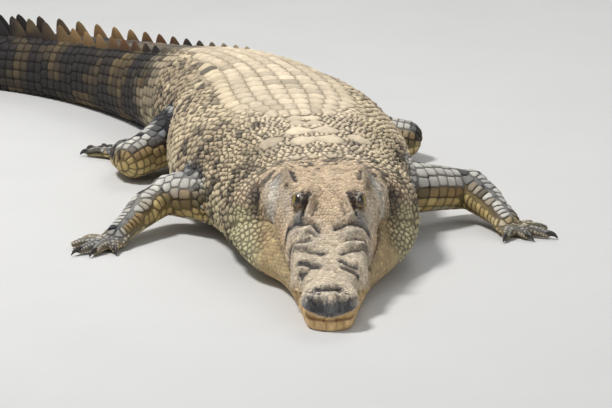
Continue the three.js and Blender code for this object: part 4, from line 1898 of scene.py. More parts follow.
class Markings:
    """The hide's colours, with painted light and shade on folds, hollows, lids and the mouth, the same for
    skin and scales.
    """

    DUST = linear(214, 196, 168)
    CREAM = linear(204, 186, 154)
    TAN = linear(208, 184, 153)
    BONE = linear(208, 191, 166)
    OCHRE = linear(180, 142, 92)
    LIP = linear(212, 180, 130)
    JAW = linear(184, 161, 120)
    JOWL = linear(192, 182, 143)
    YELLOW = linear(196, 172, 116)
    OLIVE = linear(104, 88, 62)
    SLATE = linear(122, 124, 128)
    CHALK = linear(206, 202, 192)
    DARK = linear(42, 40, 43)
    BROWN = linear(104, 80, 58)
    RUST = linear(122, 76, 46)
    BELLY = linear(202, 184, 146)
    ASH = 0.75 * 0.66 * CHALK + 0.25 * BROWN
    SMOKE = 0.88 * 0.98 * CHALK + 0.12 * BROWN

    def __call__(self, points: Array, facing: Array) -> Array:
        """Colours for points.

        Args:
            points: positions in metres.
            facing: the directions that the hide faces there.

        Returns:
            Scene-linear colours, (n, 3).
        """
        spots = points / MM
        place, out = SPINE.locate(spots)
        z = spots[:, 2]
        colour = self._body(points, place, out, z)
        head = ramp(640, 585, place)
        near = head > 0
        own = self._head(Ground(points[near], place[near], out[near]))
        colour[near] = mix(colour[near], own, head[near])
        colour = self._limbs(colour, points, place, out, facing)
        return np.clip(colour * (1 + 0.1 * noise(points, 0.012, 2))[:, None], 0.002, 1)

    def _body(self, points: Array, place: Array, out: Array, z: Array) -> Array:
        """Neck, trunk and tail.

        Args:
            points: positions in metres, (n, 3).
            place: places along the body.
            out: distances out.
            z: heights.

        Returns:
            Colours, (n, 3).
        """
        beside = np.abs(out)
        outward = beside / BODY.half_width(place)
        large, small, spots = noise(points, 0.11, 3), noise(points + 5, 0.03, 2), noise(points + 9, 0.02, 1)
        back, side = ramp(0.62, 0.35, outward), ramp(0.5, 0.9, outward)
        colour = mix(self.CREAM, self.DUST, back)
        colour = mix(colour, self.JOWL, ramp(150, 60, z) * 0.7)
        clouds = ramp(0.45, 0.85, outward) * ramp(-0.35, 0.4, large)
        colour = mix(colour, self.BROWN, clouds * 0.42)
        # Dark scales scattered over neck and flanks, and darker spots in two rows along the right edge of the
        # shield.
        neck = ramp(1010, 930, place) * ramp(0.12, 0.45, outward)
        dark = ramp(0.26, 0.42, small + 0.4 * large) * (0.3 + 0.7 * side)
        dark = np.maximum(dark, ramp(0.3, 0.46, spots + 0.25 * small) * neck)
        rows = np.maximum(bump(out, -120, 10), bump(out, -176, 14)) * ramp(940, 1040, place)
        dark = np.maximum(dark, ramp(0.0, 0.3, small) * rows)
        dark = np.maximum(dark, bump(place, 922, 14) * bump(beside, 118, 26) * 0.9)
        colour = mix(colour, self.DARK, dark * 0.78)
        seam = np.maximum(bump(beside, 44, 4.5), 0.5 * bump(beside, 88, 4)) * ramp(960, 1040, place)
        colour = mix(colour, self.BROWN, seam * ramp(1900, 1600, place) * 0.6)
        colour = mix(colour, self.BELLY, ramp(16, 6, z))
        tail = ramp(1960, 2150, place + 70 * large) * ramp(-0.12, 0.3, outward)
        tail = np.maximum(tail, ramp(2150, 2500, place))
        return mix(colour, self._tail(place, large, small), tail)

    def _tail(self, place: Array, large: Array, small: Array) -> Array:
        """The dark tail, banded with yellow and olive.

        Args:
            place: places along the body.
            large: broad noise.
            small: fine noise.

        Returns:
            Colours, (n, 3).
        """
        wave = np.sin((place - 1990 + 40 * large) * 2 * np.pi / 178)
        colour = mix(self.OLIVE, self.YELLOW * 0.55, ramp(0.0, 0.5, small) * 0.55)
        bands = ramp(-0.75, 0.1, 0.35 * wave + 1.1 * large + 0.5 * small)
        colour = mix(colour, self.DARK * 0.8, bands * 0.92)
        root = ramp(2240, 2040, place) * ramp(-0.3, 0.2, small)
        colour = mix(colour, self.CREAM * 0.75, root * 0.8)
        return mix(colour, self.DARK * 0.6, ramp(2450, 3100, place) * 0.6)

    def _head(self, at: Ground) -> Array:
        """The head and the lower jaw.

        Args:
            at: where the points lie.

        Returns:
            Colours, (n, 3).
        """
        colour = self._skull(at)
        for layer in (self._jaw, self._muzzle, self._cheek, self._creases):
            colour = layer(colour, at)
        for eye in EYES:
            colour = self._lids(colour, at, eye)
        return colour * (1 + 0.10 * at.fine + 0.08 * at.small)[:, None]

    def _skull(self, at: Ground) -> Array:
        """The head's ground colours.

        Args:
            at: where the points lie.

        Returns:
            Colours, (n, 3).
        """
        colour = mix(self.TAN, self.BONE, ramp(340, 270, at.place))
        colour = mix(colour, self.CHALK, ramp(0.1, 0.9, at.large) * 0.35)
        colour = mix(colour, self.BROWN, ramp(0.15, 0.6, at.small + 0.35 * at.fine) * 0.36)
        crown = BODY.crown(at.place)
        drop = (crown - at.z) / np.maximum(crown - at.lip, 1)
        return mix(colour, self.OCHRE, ramp(0.6, 1.0, drop) * ramp(90, 160, at.place) * 0.4)

    def _jaw(self, colour: Array, at: Ground) -> Array:
        """The lower jaw: ochre in front, brown and smooth behind, netted with yellow at the jowls, with
        painted shade along the mouth's line.

        Args:
            colour: the colours so far, (n, 3).
            at: where the points lie.

        Returns:
            The new colours.
        """
        place, z, beside = at.place, at.z, at.beside
        edge = at.lip - ramp(110, 60, place) * 14
        below = ramp(4, -4, z - edge) * ramp(600, 540, place)
        cheek = ramp(122, 134, beside) * ramp(160, 132, z) * (place > 330)
        jaw = mix(self.JAW, self.LIP, ramp(260, 120, place))
        jaw = mix(jaw, self.BROWN, ramp(-0.1, 0.5, at.small + 0.6 * at.fine) * ramp(40, 110, z) * 0.45)
        jaw = mix(jaw, self.JOWL, ramp(0, 40, beside - 138) * ramp(380, 460, place))
        jaw = mix(jaw, self.LIP, ramp(40, 10, z) * 0.6)
        colour = mix(colour, jaw, np.maximum(below, cheek))
        colour = mix(colour, self.OCHRE, bump(place, 104, 18) * ramp(54, 66, beside) * 0.8)
        # Painted shade in the mouth's groove under the upper lip, stronger on the left side.
        mouth = bump(z, at.lip - 3, 4.5) * ramp(120, 200, place) * ramp(500, 440, place)
        shade = ramp(70, 84, beside) * np.where(at.out > 0, 0.85, 0.5)
        return mix(colour, self.BROWN * 0.5, mouth * shade)

    def _muzzle(self, colour: Array, at: Ground) -> Array:
        """The dark front of the upper lip, partly painted shade, the ochre lip under it with painted bounced
        light, the mouth's line of painted shade, and flecks behind.

        Args:
            colour: the colours so far, (n, 3).
            at: where the points lie.

        Returns:
            The new colours.
        """
        place, out, z = at.place, at.out, at.z
        # The upper lip's front face is dark slate with streaks: partly its own colour, partly painted shade
        # on a face turned away from the light.
        drips = np.stack([out * 0.0025, z * 0.0008, np.zeros_like(z)], 1) + 4
        streaks = noise(drips, 0.011, 2)
        edge = 31 + 13 * (out / 52) ** 2 + 2 * at.small
        front = ramp(44, 20, place) * ramp(80, 54, z + 18 * streaks) * ramp(-2.5, 3.5, z - edge)
        colour = mix(colour, self.SLATE * (0.62 + 0.3 * streaks)[:, None], front * 0.95)
        # The lip under it is painted brighter than its own ochre, as painted light bounced up from the floor.
        lip = mix(self.LIP * 1.15, self.OCHRE, 0.25 + 0.7 * at.small)
        colour = mix(colour, lip, ramp(84, 50, place) * ramp(3, -3, z - edge))
        # Painted shade along the mouth's groove and in the creases below it.
        crease = np.maximum(bump(out, -34, 2.5), np.maximum(bump(out, -8, 3), bump(out, 30, 2.5)))
        line = np.maximum(bump(z, 24, 2.2), crease * 0.5 * ramp(26, 20, z))
        colour = mix(colour, self.RUST * 0.8, ramp(70, 40, place) * line * 0.85)
        nose = ramp(6, 14, place) * ramp(62, 40, place)
        nose = nose * ramp(60, 70, z) * ramp(8, 20, at.beside)
        bosses = bump(place, 275, 50) * ramp(8, 30, at.beside) * 0.6
        fleck = ramp(0.12, 0.34, noise(at.points + 33, 0.009, 2)) * np.maximum(nose, bosses)
        return mix(colour, self.DARK * 1.4, fleck * 0.85)

    def _cheek(self, colour: Array, at: Ground) -> Array:
        """Ash under the eyes, stripes over the cheek's arch, dots behind the skull, rings by the ear, and a
        painted shadow in the hollow behind the cheek.

        Args:
            colour: the colours so far, (n, 3).
            at: where the points lie.

        Returns:
            The new colours.
        """
        place, z, beside = at.place, at.z, at.beside
        under = bump(place, 342, 20) * bump(beside, 73, 19) * ramp(194, 182, z)
        colour = mix(colour, self.ASH, under * 1.2)
        dots = ramp(0.08, 0.24, noise(at.points + 21, 0.014, 1))
        dots = dots * ramp(505, 550, place) * ramp(190, 205, z)
        colour = mix(colour, self.DARK, dots * 0.8)
        stripes = 0.5 + 0.5 * np.sin(place * 2 * np.pi / 9)
        arch = bump(place, 425, 34) * bump(beside, 101, 9) * ramp(180, 195, z)
        colour = mix(colour, self.BROWN, arch * stripes * 0.7)
        chalk = bump(place, 508, 26) * bump(beside, 112, 13) * ramp(196, 206, z)
        colour = mix(colour, self.CHALK * 0.8, chalk)
        # Painted shadow in the hollow behind the cheek's arch.
        hollow_shadow = bump(place, 556, 22) * bump(z, 178, 20) * ramp(140, 152, beside)
        colour = mix(colour, self.BROWN * 0.5, hollow_shadow * 0.9)
        bald = bump(place, 505, 44) * bump(z, 146, 20) * ramp(106, 120, beside)
        colour = mix(colour, self.JAW * 0.8, bald * 0.8)
        rings = 0.5 + 0.5 * np.sin(np.hypot(place - 560, (z - 190) * 1.2) * 2 * np.pi / 8 + 2 * at.small)
        ringed = bump(place, 505, 40) * bump(z, 142, 22) * ramp(110, 122, beside)
        return mix(colour, self.BROWN, ringed * rings * 0.6)

    def _creases(self, colour: Array, at: Ground) -> Array:
        """Every fold's painted light: a painted highlight on ridges and painted shade in furrows.

        Args:
            colour: the colours so far, (n, 3).
            at: where the points lie.

        Returns:
            The new colours.
        """
        place = at.place
        flat = np.stack([place, at.out, np.zeros_like(place)], 1)
        strays = noise(flat, 26, 2) * 2.2
        tone = np.zeros_like(place)
        for fold in FOLDS:
            tone += fold.tone * np.minimum(1, 1.9 * fold.strength(place + strays, at.out + strays * 0.7))
        tone *= ramp(-2, 4, at.z - at.lip) * ramp(600, 570, place)
        tone *= 1 - bump(place, 150, 30) * ramp(86, 74, at.z)
        colour = mix(colour, self.CHALK * 0.95, np.clip(tone, 0, 1) * 0.6)
        return mix(colour, self.DARK * 1.25, np.clip(-tone * 1.1, 0, 1) * 0.93)

    def _lids(self, colour: Array, at: Ground, eye: Eye) -> Array:
        """The lids of one eye, with their pleats, dark rims and a painted reflection on the upper lid.

        Args:
            colour: the colours so far, (n, 3).
            at: where the points lie.
            eye: the eye.

        Returns:
            The new colours.
        """
        z, height = at.z, eye.centre[2]
        opening = eye.opening(at.points / MM)
        near = np.linalg.norm(at.points / MM - eye.centre, axis=1) < eye.radius + 7
        lower = ramp(height + 2, height - 8, z)
        # A painted reflection of the sky: pale on the wet upper lid above the opening.
        lid = near * bump(opening, 0.34, 0.16) * ramp(height + 7, height + 13, z)
        colour = mix(colour, self.CHALK * 0.7, lid)
        look = eye.look(at.points / MM)
        pleats = np.sin(15 * np.arctan2(look[:, 1], look[:, 0]) + 3 * at.small)
        brow = near * ramp(0.2, 0.45, opening) * ramp(2.6, 1.6, opening) * (1 - lid)
        colour = mix(colour, self.BROWN * 0.75, brow * 0.55)
        pleated = ramp(-0.3, 0.5, pleats + at.fine) * (1 - lower)
        colour = mix(colour, self.DARK * 0.8, brow * pleated * 0.85)
        colour = mix(colour, self.DARK * 0.8, near * bump(opening, 0.08, 0.13) * 0.95)
        colour = mix(colour, self.OCHRE * 0.8, near * bump(opening, 0.18, 0.15) * lower)
        return mix(colour, self.DARK, near * bump(opening, 0.62, 0.18) * lower * 0.9)

    def _limbs(
        self, colour: Array, points: Array, place: Array, out: Array, facing: Array
    ) -> Array:
        """Lays the limbs' colours over the body's.

        Args:
            colour: the colours so far, (n, 3).
            points: positions in metres, (n, 3).
            place: places along the body.
            out: distances out.
            facing: the directions that the hide faces.

        Returns:
            The new colours.
        """
        beyond = np.flatnonzero((np.abs(out) > 0.72 * BODY.half_width(place)) & (place > 600))
        if not len(beyond):
            return colour
        spots, up = points[beyond], facing[beyond, 2]
        outer = facing[beyond, 0] * np.sign(out[beyond])
        large, small = noise(spots + 2, 0.085, 2), noise(spots + 7, 0.03, 2)
        top = mix(self.SMOKE, self.SLATE, ramp(-0.1, 0.6, large))
        top = mix(top, self.DARK * 1.2, ramp(0.2, 0.4, large * 0.6 + small) * 0.9)
        middle = mix(self.BROWN * 1.35, self.DARK, ramp(0.05, 0.3, small + 0.4 * large))
        flesh = mix(self.YELLOW, self.OLIVE, ramp(0.1, 0.7, small) * 0.35)
        for limb in LIMBS:
            rear = limb.name.startswith("leg")
            weight = np.zeros(len(spots))
            for tube in limb.tubes():
                share, _, apart = tube.locate(spots / MM)
                on = ramp(1.35, 1.1, apart)
                if tube is limb.lengths[0]:
                    on *= ramp(0.05, 0.3, share)
                weight = np.maximum(weight, on)
            height = 0.85 * up + (0.1 if rear else 0.5) * outer + 0.22 * large
            lower = spots[:, 2] < 0.042
            own = mix(flesh, middle, ramp(-0.05, 0.2, height) * ramp(0.7, 0.45, height) * 0.7)
            own = mix(own, top, ramp(0.35, 0.6, height))
            own = mix(own, mix(flesh, self.CHALK * 0.8, 0.5 + large), lower * (0.15 if rear else 0.6))
            if rear:
                stains = ramp(-0.25, 0.05, small + 0.3 * large) * ramp(-0.35, 0.1, up)
                own = mix(own, self.DARK * 0.8, stains * 0.8)
            colour[beyond] = mix(colour[beyond], own, weight)
        return colour


# --- The coat of scales ---


@dataclass(frozen=True)
class Cut:
    """The shape of one sort of scale, in millimetres.

    Args:
        piece: the object that such scales belong to.
        thick: how far its shoulder stands over the skin.
        dome: how much higher its middle is.
        keel: how much higher still its ridge is.
        gap: the bare skin between two scales.
        spokes: corners of its outline.
        square: how sharp its corners are; 4 is rounded, 12 is angular.
        peak: how far back its highest point lies, as a share of its half length.
        ragged: how uneven its outline and height are.
        rim: how dark its edge is painted against its middle, as painted shade.
    """

    piece: str
    thick: float
    dome: float = 0.5
    keel: float = 0.0
    gap: float = 1.2
    spokes: int = 8
    square: float = 7.0
    peak: float = 0.15
    ragged: float = 0.06
    rim: float = 0.45


class Sort(Enum):
    """The sorts of scale."""

    SHIELD = Cut("scutes_back", 1.8, 0.7, 2.6, 1.2, 16, 12, 0.25, 0.03, 0.86)
    NUCHAL = Cut("scutes_back", 4.0, 1.2, 2.4, 2.4, 20, 11, 0.3, 0.02, 0.5)
    NECK = Cut("scales_neck", 2.4, 1.7, 2.2, 2.8, 10, 5, 0.45, 0.16, 0.2)
    FLANK = Cut("scales_flanks", 2.2, 1.6, 1.2, 2.8, 10, 5, 0.25, 0.13, 0.28)
    BELLY = Cut("scales_belly", 1.4, 0.3, 0, 1.4, 10, 12, 0, 0.03, 0.6)
    TAIL = Cut("scales_tail", 2.0, 0.6, 1.0, 1.5, 12, 12, 0.3, 0.04, 0.5)
    SKULL = Cut("scales_head", 0.7, 0.6, 0, 1.0, 8, 6, 0.1, 0.24, 0.5)
    SNOUT = Cut("scales_head", 0.4, 0.3, 0, 0.7, 8, 7, 0, 0.2, 0.75)
    JAW = Cut("scales_jaw", 0.5, 0.3, 0, 0.8, 8, 7, 0, 0.16, 0.7)
    JOWL = Cut("scales_jaw", 1.3, 0.8, 0, 2.6, 10, 6, 0.2, 0.14, 0.25)
    PLATE = Cut("scales_{limb}", 1.9, 0.8, 0.3, 1.8, 16, 12, 0.2, 0.03, 0.25)
    BAND = Cut("scales_{limb}", 2.2, 1.4, 0, 2.6, 16, 10, 0.3, 0.04, 0.12)
    PAW = Cut("scales_{limb}", 1.2, 0.8, 0, 1.5, 12, 9, 0.2, 0.05, 0.25)


@dataclass
class Roots:
    """Where scales grow, before their outlines are known.

    Args:
        sort: their sort.
        spot: places in millimetres near the skin, (n, 3).
        back: the direction that each one points, (n, 3).
        half: half the distance to its neighbours.
        chart: each one's place on the unwrapped skin, in millimetres, (n, 2).
        limb: the limb's name, or nothing for the body.
        facing: the way the skin faces under each one, once they are settled.
    """

    sort: Sort
    spot: Array
    back: Array
    half: Array
    chart: Array
    limb: str = ""
    facing: Array | None = None

    def keep(self, kept: Array) -> Roots:
        """Only the roots that a mask keeps.

        Args:
            kept: which roots stay.

        Returns:
            The roots that stay.
        """
        facing = None if self.facing is None else self.facing[kept]
        rows = (each[kept] for each in (self.spot, self.back, self.half, self.chart))
        return Roots(self.sort, *rows, self.limb, facing)

    @property
    def piece(self) -> str:
        """The name of the object that these scales belong to."""
        return self.sort.value.piece.format(limb=self.limb)


@dataclass(frozen=True)
class Field:
    """An area of the body's cross sections filled with rows of scales.

    Args:
        sort: the sort of scale.
        start: the first place.
        end: the last place.
        top: the value of t where it begins.
        bottom: the value of t where it ends.
        long: distance between rows, in millimetres.
        wide: distance between scales of a row.
        jitter: how far scales stray, as a share of these distances.
        brick: whether every other row is shifted by half a scale.
    """

    sort: Sort
    start: float
    end: float
    top: float
    bottom: float
    long: float
    wide: float
    jitter: float = 0.12
    brick: bool = True

    def roots(self, chance: np.random.Generator) -> Roots:
        """The area's roots.

        Args:
            chance: the source of random numbers.

        Returns:
            The roots, row by row.
        """
        places, ts, sides, arcs = [], [], [], []
        for number, place in enumerate(np.arange(self.start, self.end, self.long)):
            walk = np.linspace(0, self.bottom, 90)
            out, z = BODY.section(np.full(90, float(place)), walk)
            arc = np.concatenate([[0], np.cumsum(np.hypot(np.diff(out), np.diff(z)))])
            begin = float(np.interp(self.top, walk, arc))
            span = arc[-1] - begin
            if span < 0.3 * self.wide:
                continue
            count = max(1, round(span / self.wide))
            shift = 0.25 + 0.5 * (number % 2) if self.brick else 0.5
            for side in (1, -1):
                along = (np.arange(count) + shift + chance.uniform(-1, 1, count) * self.jitter) / count
                spread = begin + np.clip(along, 0.02, 0.99) * span
                places.append(place + chance.uniform(-1, 1, count) * self.jitter * self.long)
                ts.append(np.interp(spread, arc, walk))
                sides.append(np.full(count, side))
                arcs.append(side * spread)
        place, t, side, arc = (np.concatenate(x) for x in (places, ts, sides, arcs))
        half = np.full(len(place), math.sqrt(self.long * self.wide) / 2)
        return on_body(self.sort, place, t, side, arc, half)


def on_body(
    sort: Sort, place: Array, t: Array, side: Array, arc: Array, half: Array
) -> Roots:
    """Roots at places and values of t on the body's outline.

    Args:
        sort: the sort of scale.
        place: places along the body.
        t: where each point lies on its cross section.
        side: 1 on the left and -1 on the right.
        arc: distances around the section.
        half: half the distance to each one's neighbours.

    Returns:
        The roots.
    """
    place = np.clip(place, 0, BODY_LENGTH - 1)
    out, z = BODY.section(place, t)
    spot = SPINE.at(place, side * out, z)
    out, z = BODY.section(place + 1, t)
    return Roots(sort, spot, unit(SPINE.at(place + 1, side * out, z) - spot), half, np.stack([place, arc], 1))


def by_distance_out(sort: Sort, spots: list[tuple[float, float]], half: float) -> Roots:
    """Roots on the back at (place, out) pairs.

    Args:
        sort: the sort of scale.
        spots: the pairs.
        half: half the distance to a neighbour.

    Returns:
        The roots.
    """
    place, out = np.array(spots, float).T
    walk = np.linspace(0, 0.45, 90)
    t = np.array([
        np.interp(abs(o), BODY.section(np.full(90, float(p)), walk)[0], walk) for p, o in zip(place, out)
    ])
    return on_body(sort, place, t, np.sign(out), out, np.full(len(place), half))


def tube_roots(tube: Tube, sort: Sort, limb: str, chance: np.random.Generator, shelf: float) -> Roots:
    """Rows of roots around one length of a limb.

    Args:
        tube: the tube.
        sort: the sort of scale.
        limb: the limb's name.
        chance: the source of random numbers.
        shelf: where the tube begins on the unwrapped skin.

    Returns:
        The roots.
    """
    long, wide = tube.pitch
    rows = max(2, round(1.25 * tube.length / long))
    shares, turns, charts = [], [], []
    for share in np.linspace(-0.12, 1.12, rows):
        size = tube.size.at(np.array([share]))[0]
        girth = math.pi * (size[0] + size[1])
        count = max(5, round(girth / wide))
        turn = (np.arange(count) + chance.uniform(-0.06, 0.06, count)) / count * 2 * np.pi
        shares.append(np.full(count, share) + chance.uniform(-0.06, 0.06, count) / rows)
        turns.append(turn)
        charts.append(np.stack([np.full(count, share * tube.length), shelf + turn / (2 * np.pi) * girth], 1))
    share, turn, chart = np.concatenate(shares), np.concatenate(turns), np.concatenate(charts)
    spot = tube.surface(share, turn, 2.0)
    back = tube.centre.tangent(np.clip(share, 0, 1))
    half = np.full(len(share), math.sqrt(long * wide) / 2)
    return Roots(sort, spot, back, half, chart, limb).keep(spot[:, 2] > 4)


def tree_of(spots: Array) -> KDTree:
    """A tree that finds the neighbours of spots.

    Args:
        spots: the spots, (n, 3).

    Returns:
        The tree.
    """
    tree = KDTree(len(spots))
    for i, point in enumerate(spots):
        tree.insert(Vector(point), i)
    tree.balance()
    return tree


@dataclass
class Coat:
    """Every scale of the animal, grown on the finished skin.

    Args:
        skin: the skin.
        areas: the body's areas, larger scales first.
        shield_columns: how far out the shield's scutes lie.
        shield_edge: how far out the shield reaches at each place.
        tallest_gap: how far from the skin a root may lie, in metres.
    """

    skin: Piece
    areas: tuple[Field, ...] = (
        Field(Sort.NECK, 572, 1000, 0.0, 0.42, 17, 14, 0.3),
        Field(Sort.FLANK, 960, 1975, 0.0, 0.72, 22, 21, 0.24),
        Field(Sort.FLANK, 610, 985, 0.42, 0.74, 19, 17, 0.26),
        Field(Sort.BELLY, 620, 1960, 0.76, 1.0, 32, 27, 0.03, False),
        Field(Sort.TAIL, 1975, 3960, 0.1, 1.0, 29.7, 27, 0.03, False),
        Field(Sort.SKULL, 318, 606, 0.0, 0.3, 8, 8.2, 0.3),
        Field(Sort.SKULL, 390, 606, 0.3, 0.46, 9, 9, 0.3),
        Field(Sort.SNOUT, 6, 318, 0.0, 0.3, 8, 8.5, 0.2),
        Field(Sort.SNOUT, 6, 104, 0.3, 0.57, 8, 8.5),
        Field(Sort.SNOUT, 104, 390, 0.3, 0.455, 9, 9),
        Field(Sort.JAW, 62, 104, 0.71, 0.88, 9, 9),
        Field(Sort.JAW, 104, 430, 0.545, 0.88, 9, 9),
        Field(Sort.JOWL, 430, 640, 0.545, 0.9, 18, 12, 0.22),
        Field(Sort.JAW, 70, 620, 0.88, 1.0, 20, 20, 0.05),
    )
    shield_columns: tuple = (22, 66, 108, 147)
    shield_edge: Rail = Rail(
        (955, 20), (990, 70), (1060, 110), (1110, 170), (1690, 170), (1760, 122), (1900, 92), (2000, 70),
    )
    tallest_gap: float = 0.0085

    def __post_init__(self) -> None:
        """Gathers the roots, larger scales first, and settles them on the skin."""
        self.chance = np.random.default_rng(SEED)
        self.tree = BVHTree.FromObject(self.skin, bpy.context.evaluated_depsgraph_get())
        groups = [self._nuchals(), self._shield()]
        groups += [self._off_shield(area.roots(self.chance)) for area in self.areas]
        groups += [roots for limb in LIMBS for roots in self._on_limb(limb)]
        self.groups = [group for group in map(self._settle, groups) if len(group.half)]
        self._thin()

    def _nuchals(self) -> Roots:
        """The raised scutes of the nape: a block of four with one on each side, and a row behind the
        skull.

        Returns:
            The roots.
        """
        spots = [(p, o) for p in (735, 815) for o in (-34, 34)]
        spots += [(772, -106), (772, 106)]
        big = by_distance_out(Sort.NUCHAL, spots, 35)
        small = by_distance_out(Sort.NUCHAL, [(622, -62), (618, -21), (618, 21), (622, 62)], 13)
        return merge(big, small)

    def _shield(self) -> Roots:
        """The scutes of the back, in rows across it, and on over the root of the tail.

        Returns:
            The roots.
        """
        spots = []
        for number in range(17):
            place = 1000 + number * 55.5
            columns = self.shield_columns[: 4 if 1 < number < 14 else 3]
            narrow = min(1.0, 0.62 + 0.12 * number, 1.18 - 0.03 * number)
            spots += [(place, sign * out * narrow) for out in columns for sign in (1, -1)]
        spots += [(place, sign * 21) for place in (892, 938) for sign in (1, -1)]
        for number in range(17):
            place = 1960 + (number - 0.2) * CREST_PITCH
            wide = float(BODY.half_width(place)) * 0.2
            spots += [(place, sign * wide) for sign in (1, -1)]
        return by_distance_out(Sort.SHIELD, spots, 24)

    def _off_shield(self, roots: Roots) -> Roots:
        """Drops flank scales that would grow under the shield.

        Args:
            roots: the roots.

        Returns:
            Those that stay.
        """
        if roots.sort is not Sort.FLANK:
            return roots
        return roots.keep(np.abs(roots.chart[:, 1]) > self.shield_edge(roots.chart[:, 0]))

    def _on_limb(self, limb: Limb) -> list[Roots]:
        """The roots of a limb, tube by tube.

        Args:
            limb: the limb.

        Returns:
            The roots.
        """
        made, shelf = [], 0.0
        for tube in limb.tubes():
            sort = Sort.PLATE if tube.pitch[0] > 20 else Sort.BAND if tube.pitch[0] > 14 else Sort.PAW
            made.append(tube_roots(tube, sort, limb.name, self.chance, shelf))
            shelf += 2 * math.pi * float(tube.size.at(np.array([0.0]))[0].max()) + 20
        return made

    def _settle(self, roots: Roots) -> Roots:
        """Moves roots onto the skin, and drops those that lie away from it.

        Args:
            roots: the roots.

        Returns:
            Those that stay.
        """
        found, facing = self._snap(roots.spot)
        kept = np.linalg.norm(found - roots.spot, axis=1) * MM < self.tallest_gap
        spot = np.where(kept[:, None], found, roots.spot)
        for eye in EYES:
            near = np.linalg.norm(spot - eye.centre, axis=1) < eye.radius + 9
            kept &= ~(near & (eye.opening(spot) < 0.22))
        if roots.sort in (Sort.SNOUT, Sort.JAW):
            kept &= (roots.chart[:, 0] > 62) | (spot[:, 2] > 52)
        return replace(roots, spot=spot, facing=facing).keep(kept)

    def _thin(self) -> None:
        """Drops scales that crowd an earlier one."""
        spot = np.concatenate([group.spot for group in self.groups])
        half = np.concatenate([group.half for group in self.groups])
        sizes = [len(group.half) for group in self.groups]
        number = np.repeat(np.arange(len(sizes)), sizes)
        tree = tree_of(spot)
        kept = np.ones(len(spot), bool)
        for i in range(len(spot)):
            if not kept[i]:
                continue
            for _, j, gap in tree.find_range(Vector(spot[i]), 2 * half[i]):
                room = 0.86 * half[i] + 0.45 * half[j] if number[i] != number[j] else 0.7 * half[i]
                if j > i and gap < room:
                    kept[j] = False
        masks = np.split(kept, np.cumsum(sizes)[:-1])
        self.groups = [group.keep(mask) for group, mask in zip(self.groups, masks)]
        self.spot, self.half = spot[kept], half[kept]

    def build(self, finish: Material, markings_and_shading: Markings) -> None:
        """Builds every piece of the coat.

        Args:
            finish: the material.
            markings_and_shading: the hide's colours.
        """
        tree = tree_of(self.spot)
        first = 0
        pieces: dict[str, list] = {}
        for group in self.groups:
            index = np.arange(first, first + len(group.half))
            first += len(group.half)
            if len(index):
                pieces.setdefault(group.piece, []).append(self._shapes(group, index, tree, markings_and_shading))
        for name, shapes in pieces.items():
            self._piece(name, shapes, finish)

    def _outline(
        self, group: Roots, index: Array, tree: KDTree, across: Array, back: Array
    ) -> Array:
        """How far each scale reaches along each of its spokes.

        Args:
            group: the roots of one sort.
            index: their numbers in the whole coat.
            tree: finds a root's neighbours.
            across: each scale's direction across.
            back: each scale's direction back.

        Returns:
            Distances in millimetres, (scales, spokes).
        """
        cut = group.sort.value
        near = np.array([[found[1] for found in tree.find_n(Vector(self.spot[i]), 13)][1:] for i in index])
        apart = self.spot[near] - group.spot[:, None]
        x = (apart * across[:, None]).sum(2)
        y = (apart * back[:, None]).sum(2)
        gap = np.maximum(np.hypot(x, y), 1e-6)
        own, other = group.half[:, None], self.half[near]
        limit = gap / 2 + (own**2 - other**2) / (2 * gap)
        limit = np.maximum(limit, 0.25 * own)
        turn = 2 * np.pi * np.arange(cut.spokes) / cut.spokes
        towards = (x[..., None] * np.sin(turn) + y[..., None] * np.cos(turn)) / gap[..., None]
        pull = np.maximum(0, towards) / limit[..., None]
        reach = ((pull**cut.square).sum(1) + (1 / (2.1 * own)) ** cut.square) ** (-1 / cut.square)
        reach *= 1 + self.chance.uniform(-1, 1, reach.shape) * cut.ragged
        return np.maximum(reach - cut.gap / 2, 0.3 * own)

    def _shapes(self, group: Roots, index: Array, tree: KDTree, markings_and_shading: Markings) -> dict:
        """Vertex positions, map places and colours of every scale of a group.

        Args:
            group: the roots of one sort.
            index: their numbers in the whole coat.
            tree: finds a root's neighbours.
            markings_and_shading: the hide's colours.

        Returns:
            The group's arrays, for _piece.
        """
        cut = group.sort.value
        across = unit(np.cross(group.back, group.facing))
        back = unit(np.cross(group.facing, across))
        reach = self._outline(group, index, tree, across, back)
        count, spokes = reach.shape
        turn = 2 * np.pi * np.arange(spokes) / spokes
        flat = np.sin(turn)[None, :, None] * across[:, None] + np.cos(turn)[None, :, None] * back[:, None]
        offset = flat * reach[..., None]
        snapped, lean = self._snap(group.spot[:, None] + offset)
        halfway, tilt = self._snap(group.spot[:, None] + offset * 0.5)
        size = group.half[:, None, None]
        swell = 1 + self.chance.uniform(-1, 1, (count, 1)) * cut.ragged * 2
        if group.limb:
            swell *= 0.4 + 0.6 * ramp(-0.3, 0.35, group.facing[:, 2:])
        if group.sort is Sort.NECK:
            swell *= 0.35 + 0.65 * ramp(575, 680, group.chart[:, :1])
        shift = back[:, None] * (cut.peak * size)
        ridge = (np.abs(np.cos(turn)) ** 10)[None]
        rear = 0.5 + 0.5 * np.cos(turn)[None]
        rings = []
        for share, high in ((1.0, -0.9), (0.985, 0.45 * cut.thick), (0.86, cut.thick), (0.5, 0.0)):
            base = self._between(group.spot[:, None], halfway, snapped, share)
            normal = unit(group.facing[:, None] * (1 - share) + (tilt + lean) * share)
            if share < 0.6:
                rise = cut.thick + cut.dome * 0.7 + cut.keel * ridge * (0.45 + 0.4 * rear)
                base = base + shift * 0.5
            else:
                rise = high + (high > 0) * cut.keel * ridge * rear * 0.3
            rings.append(base + normal * (np.broadcast_to(rise, (count, spokes)) * swell)[..., None])
        peak = group.spot + shift[:, 0] + group.facing * ((cut.thick + cut.dome + cut.keel) * swell)
        points = np.concatenate([*rings, peak[:, None]], 1)
        points[..., 2] = np.maximum(points[..., 2], 0.1)
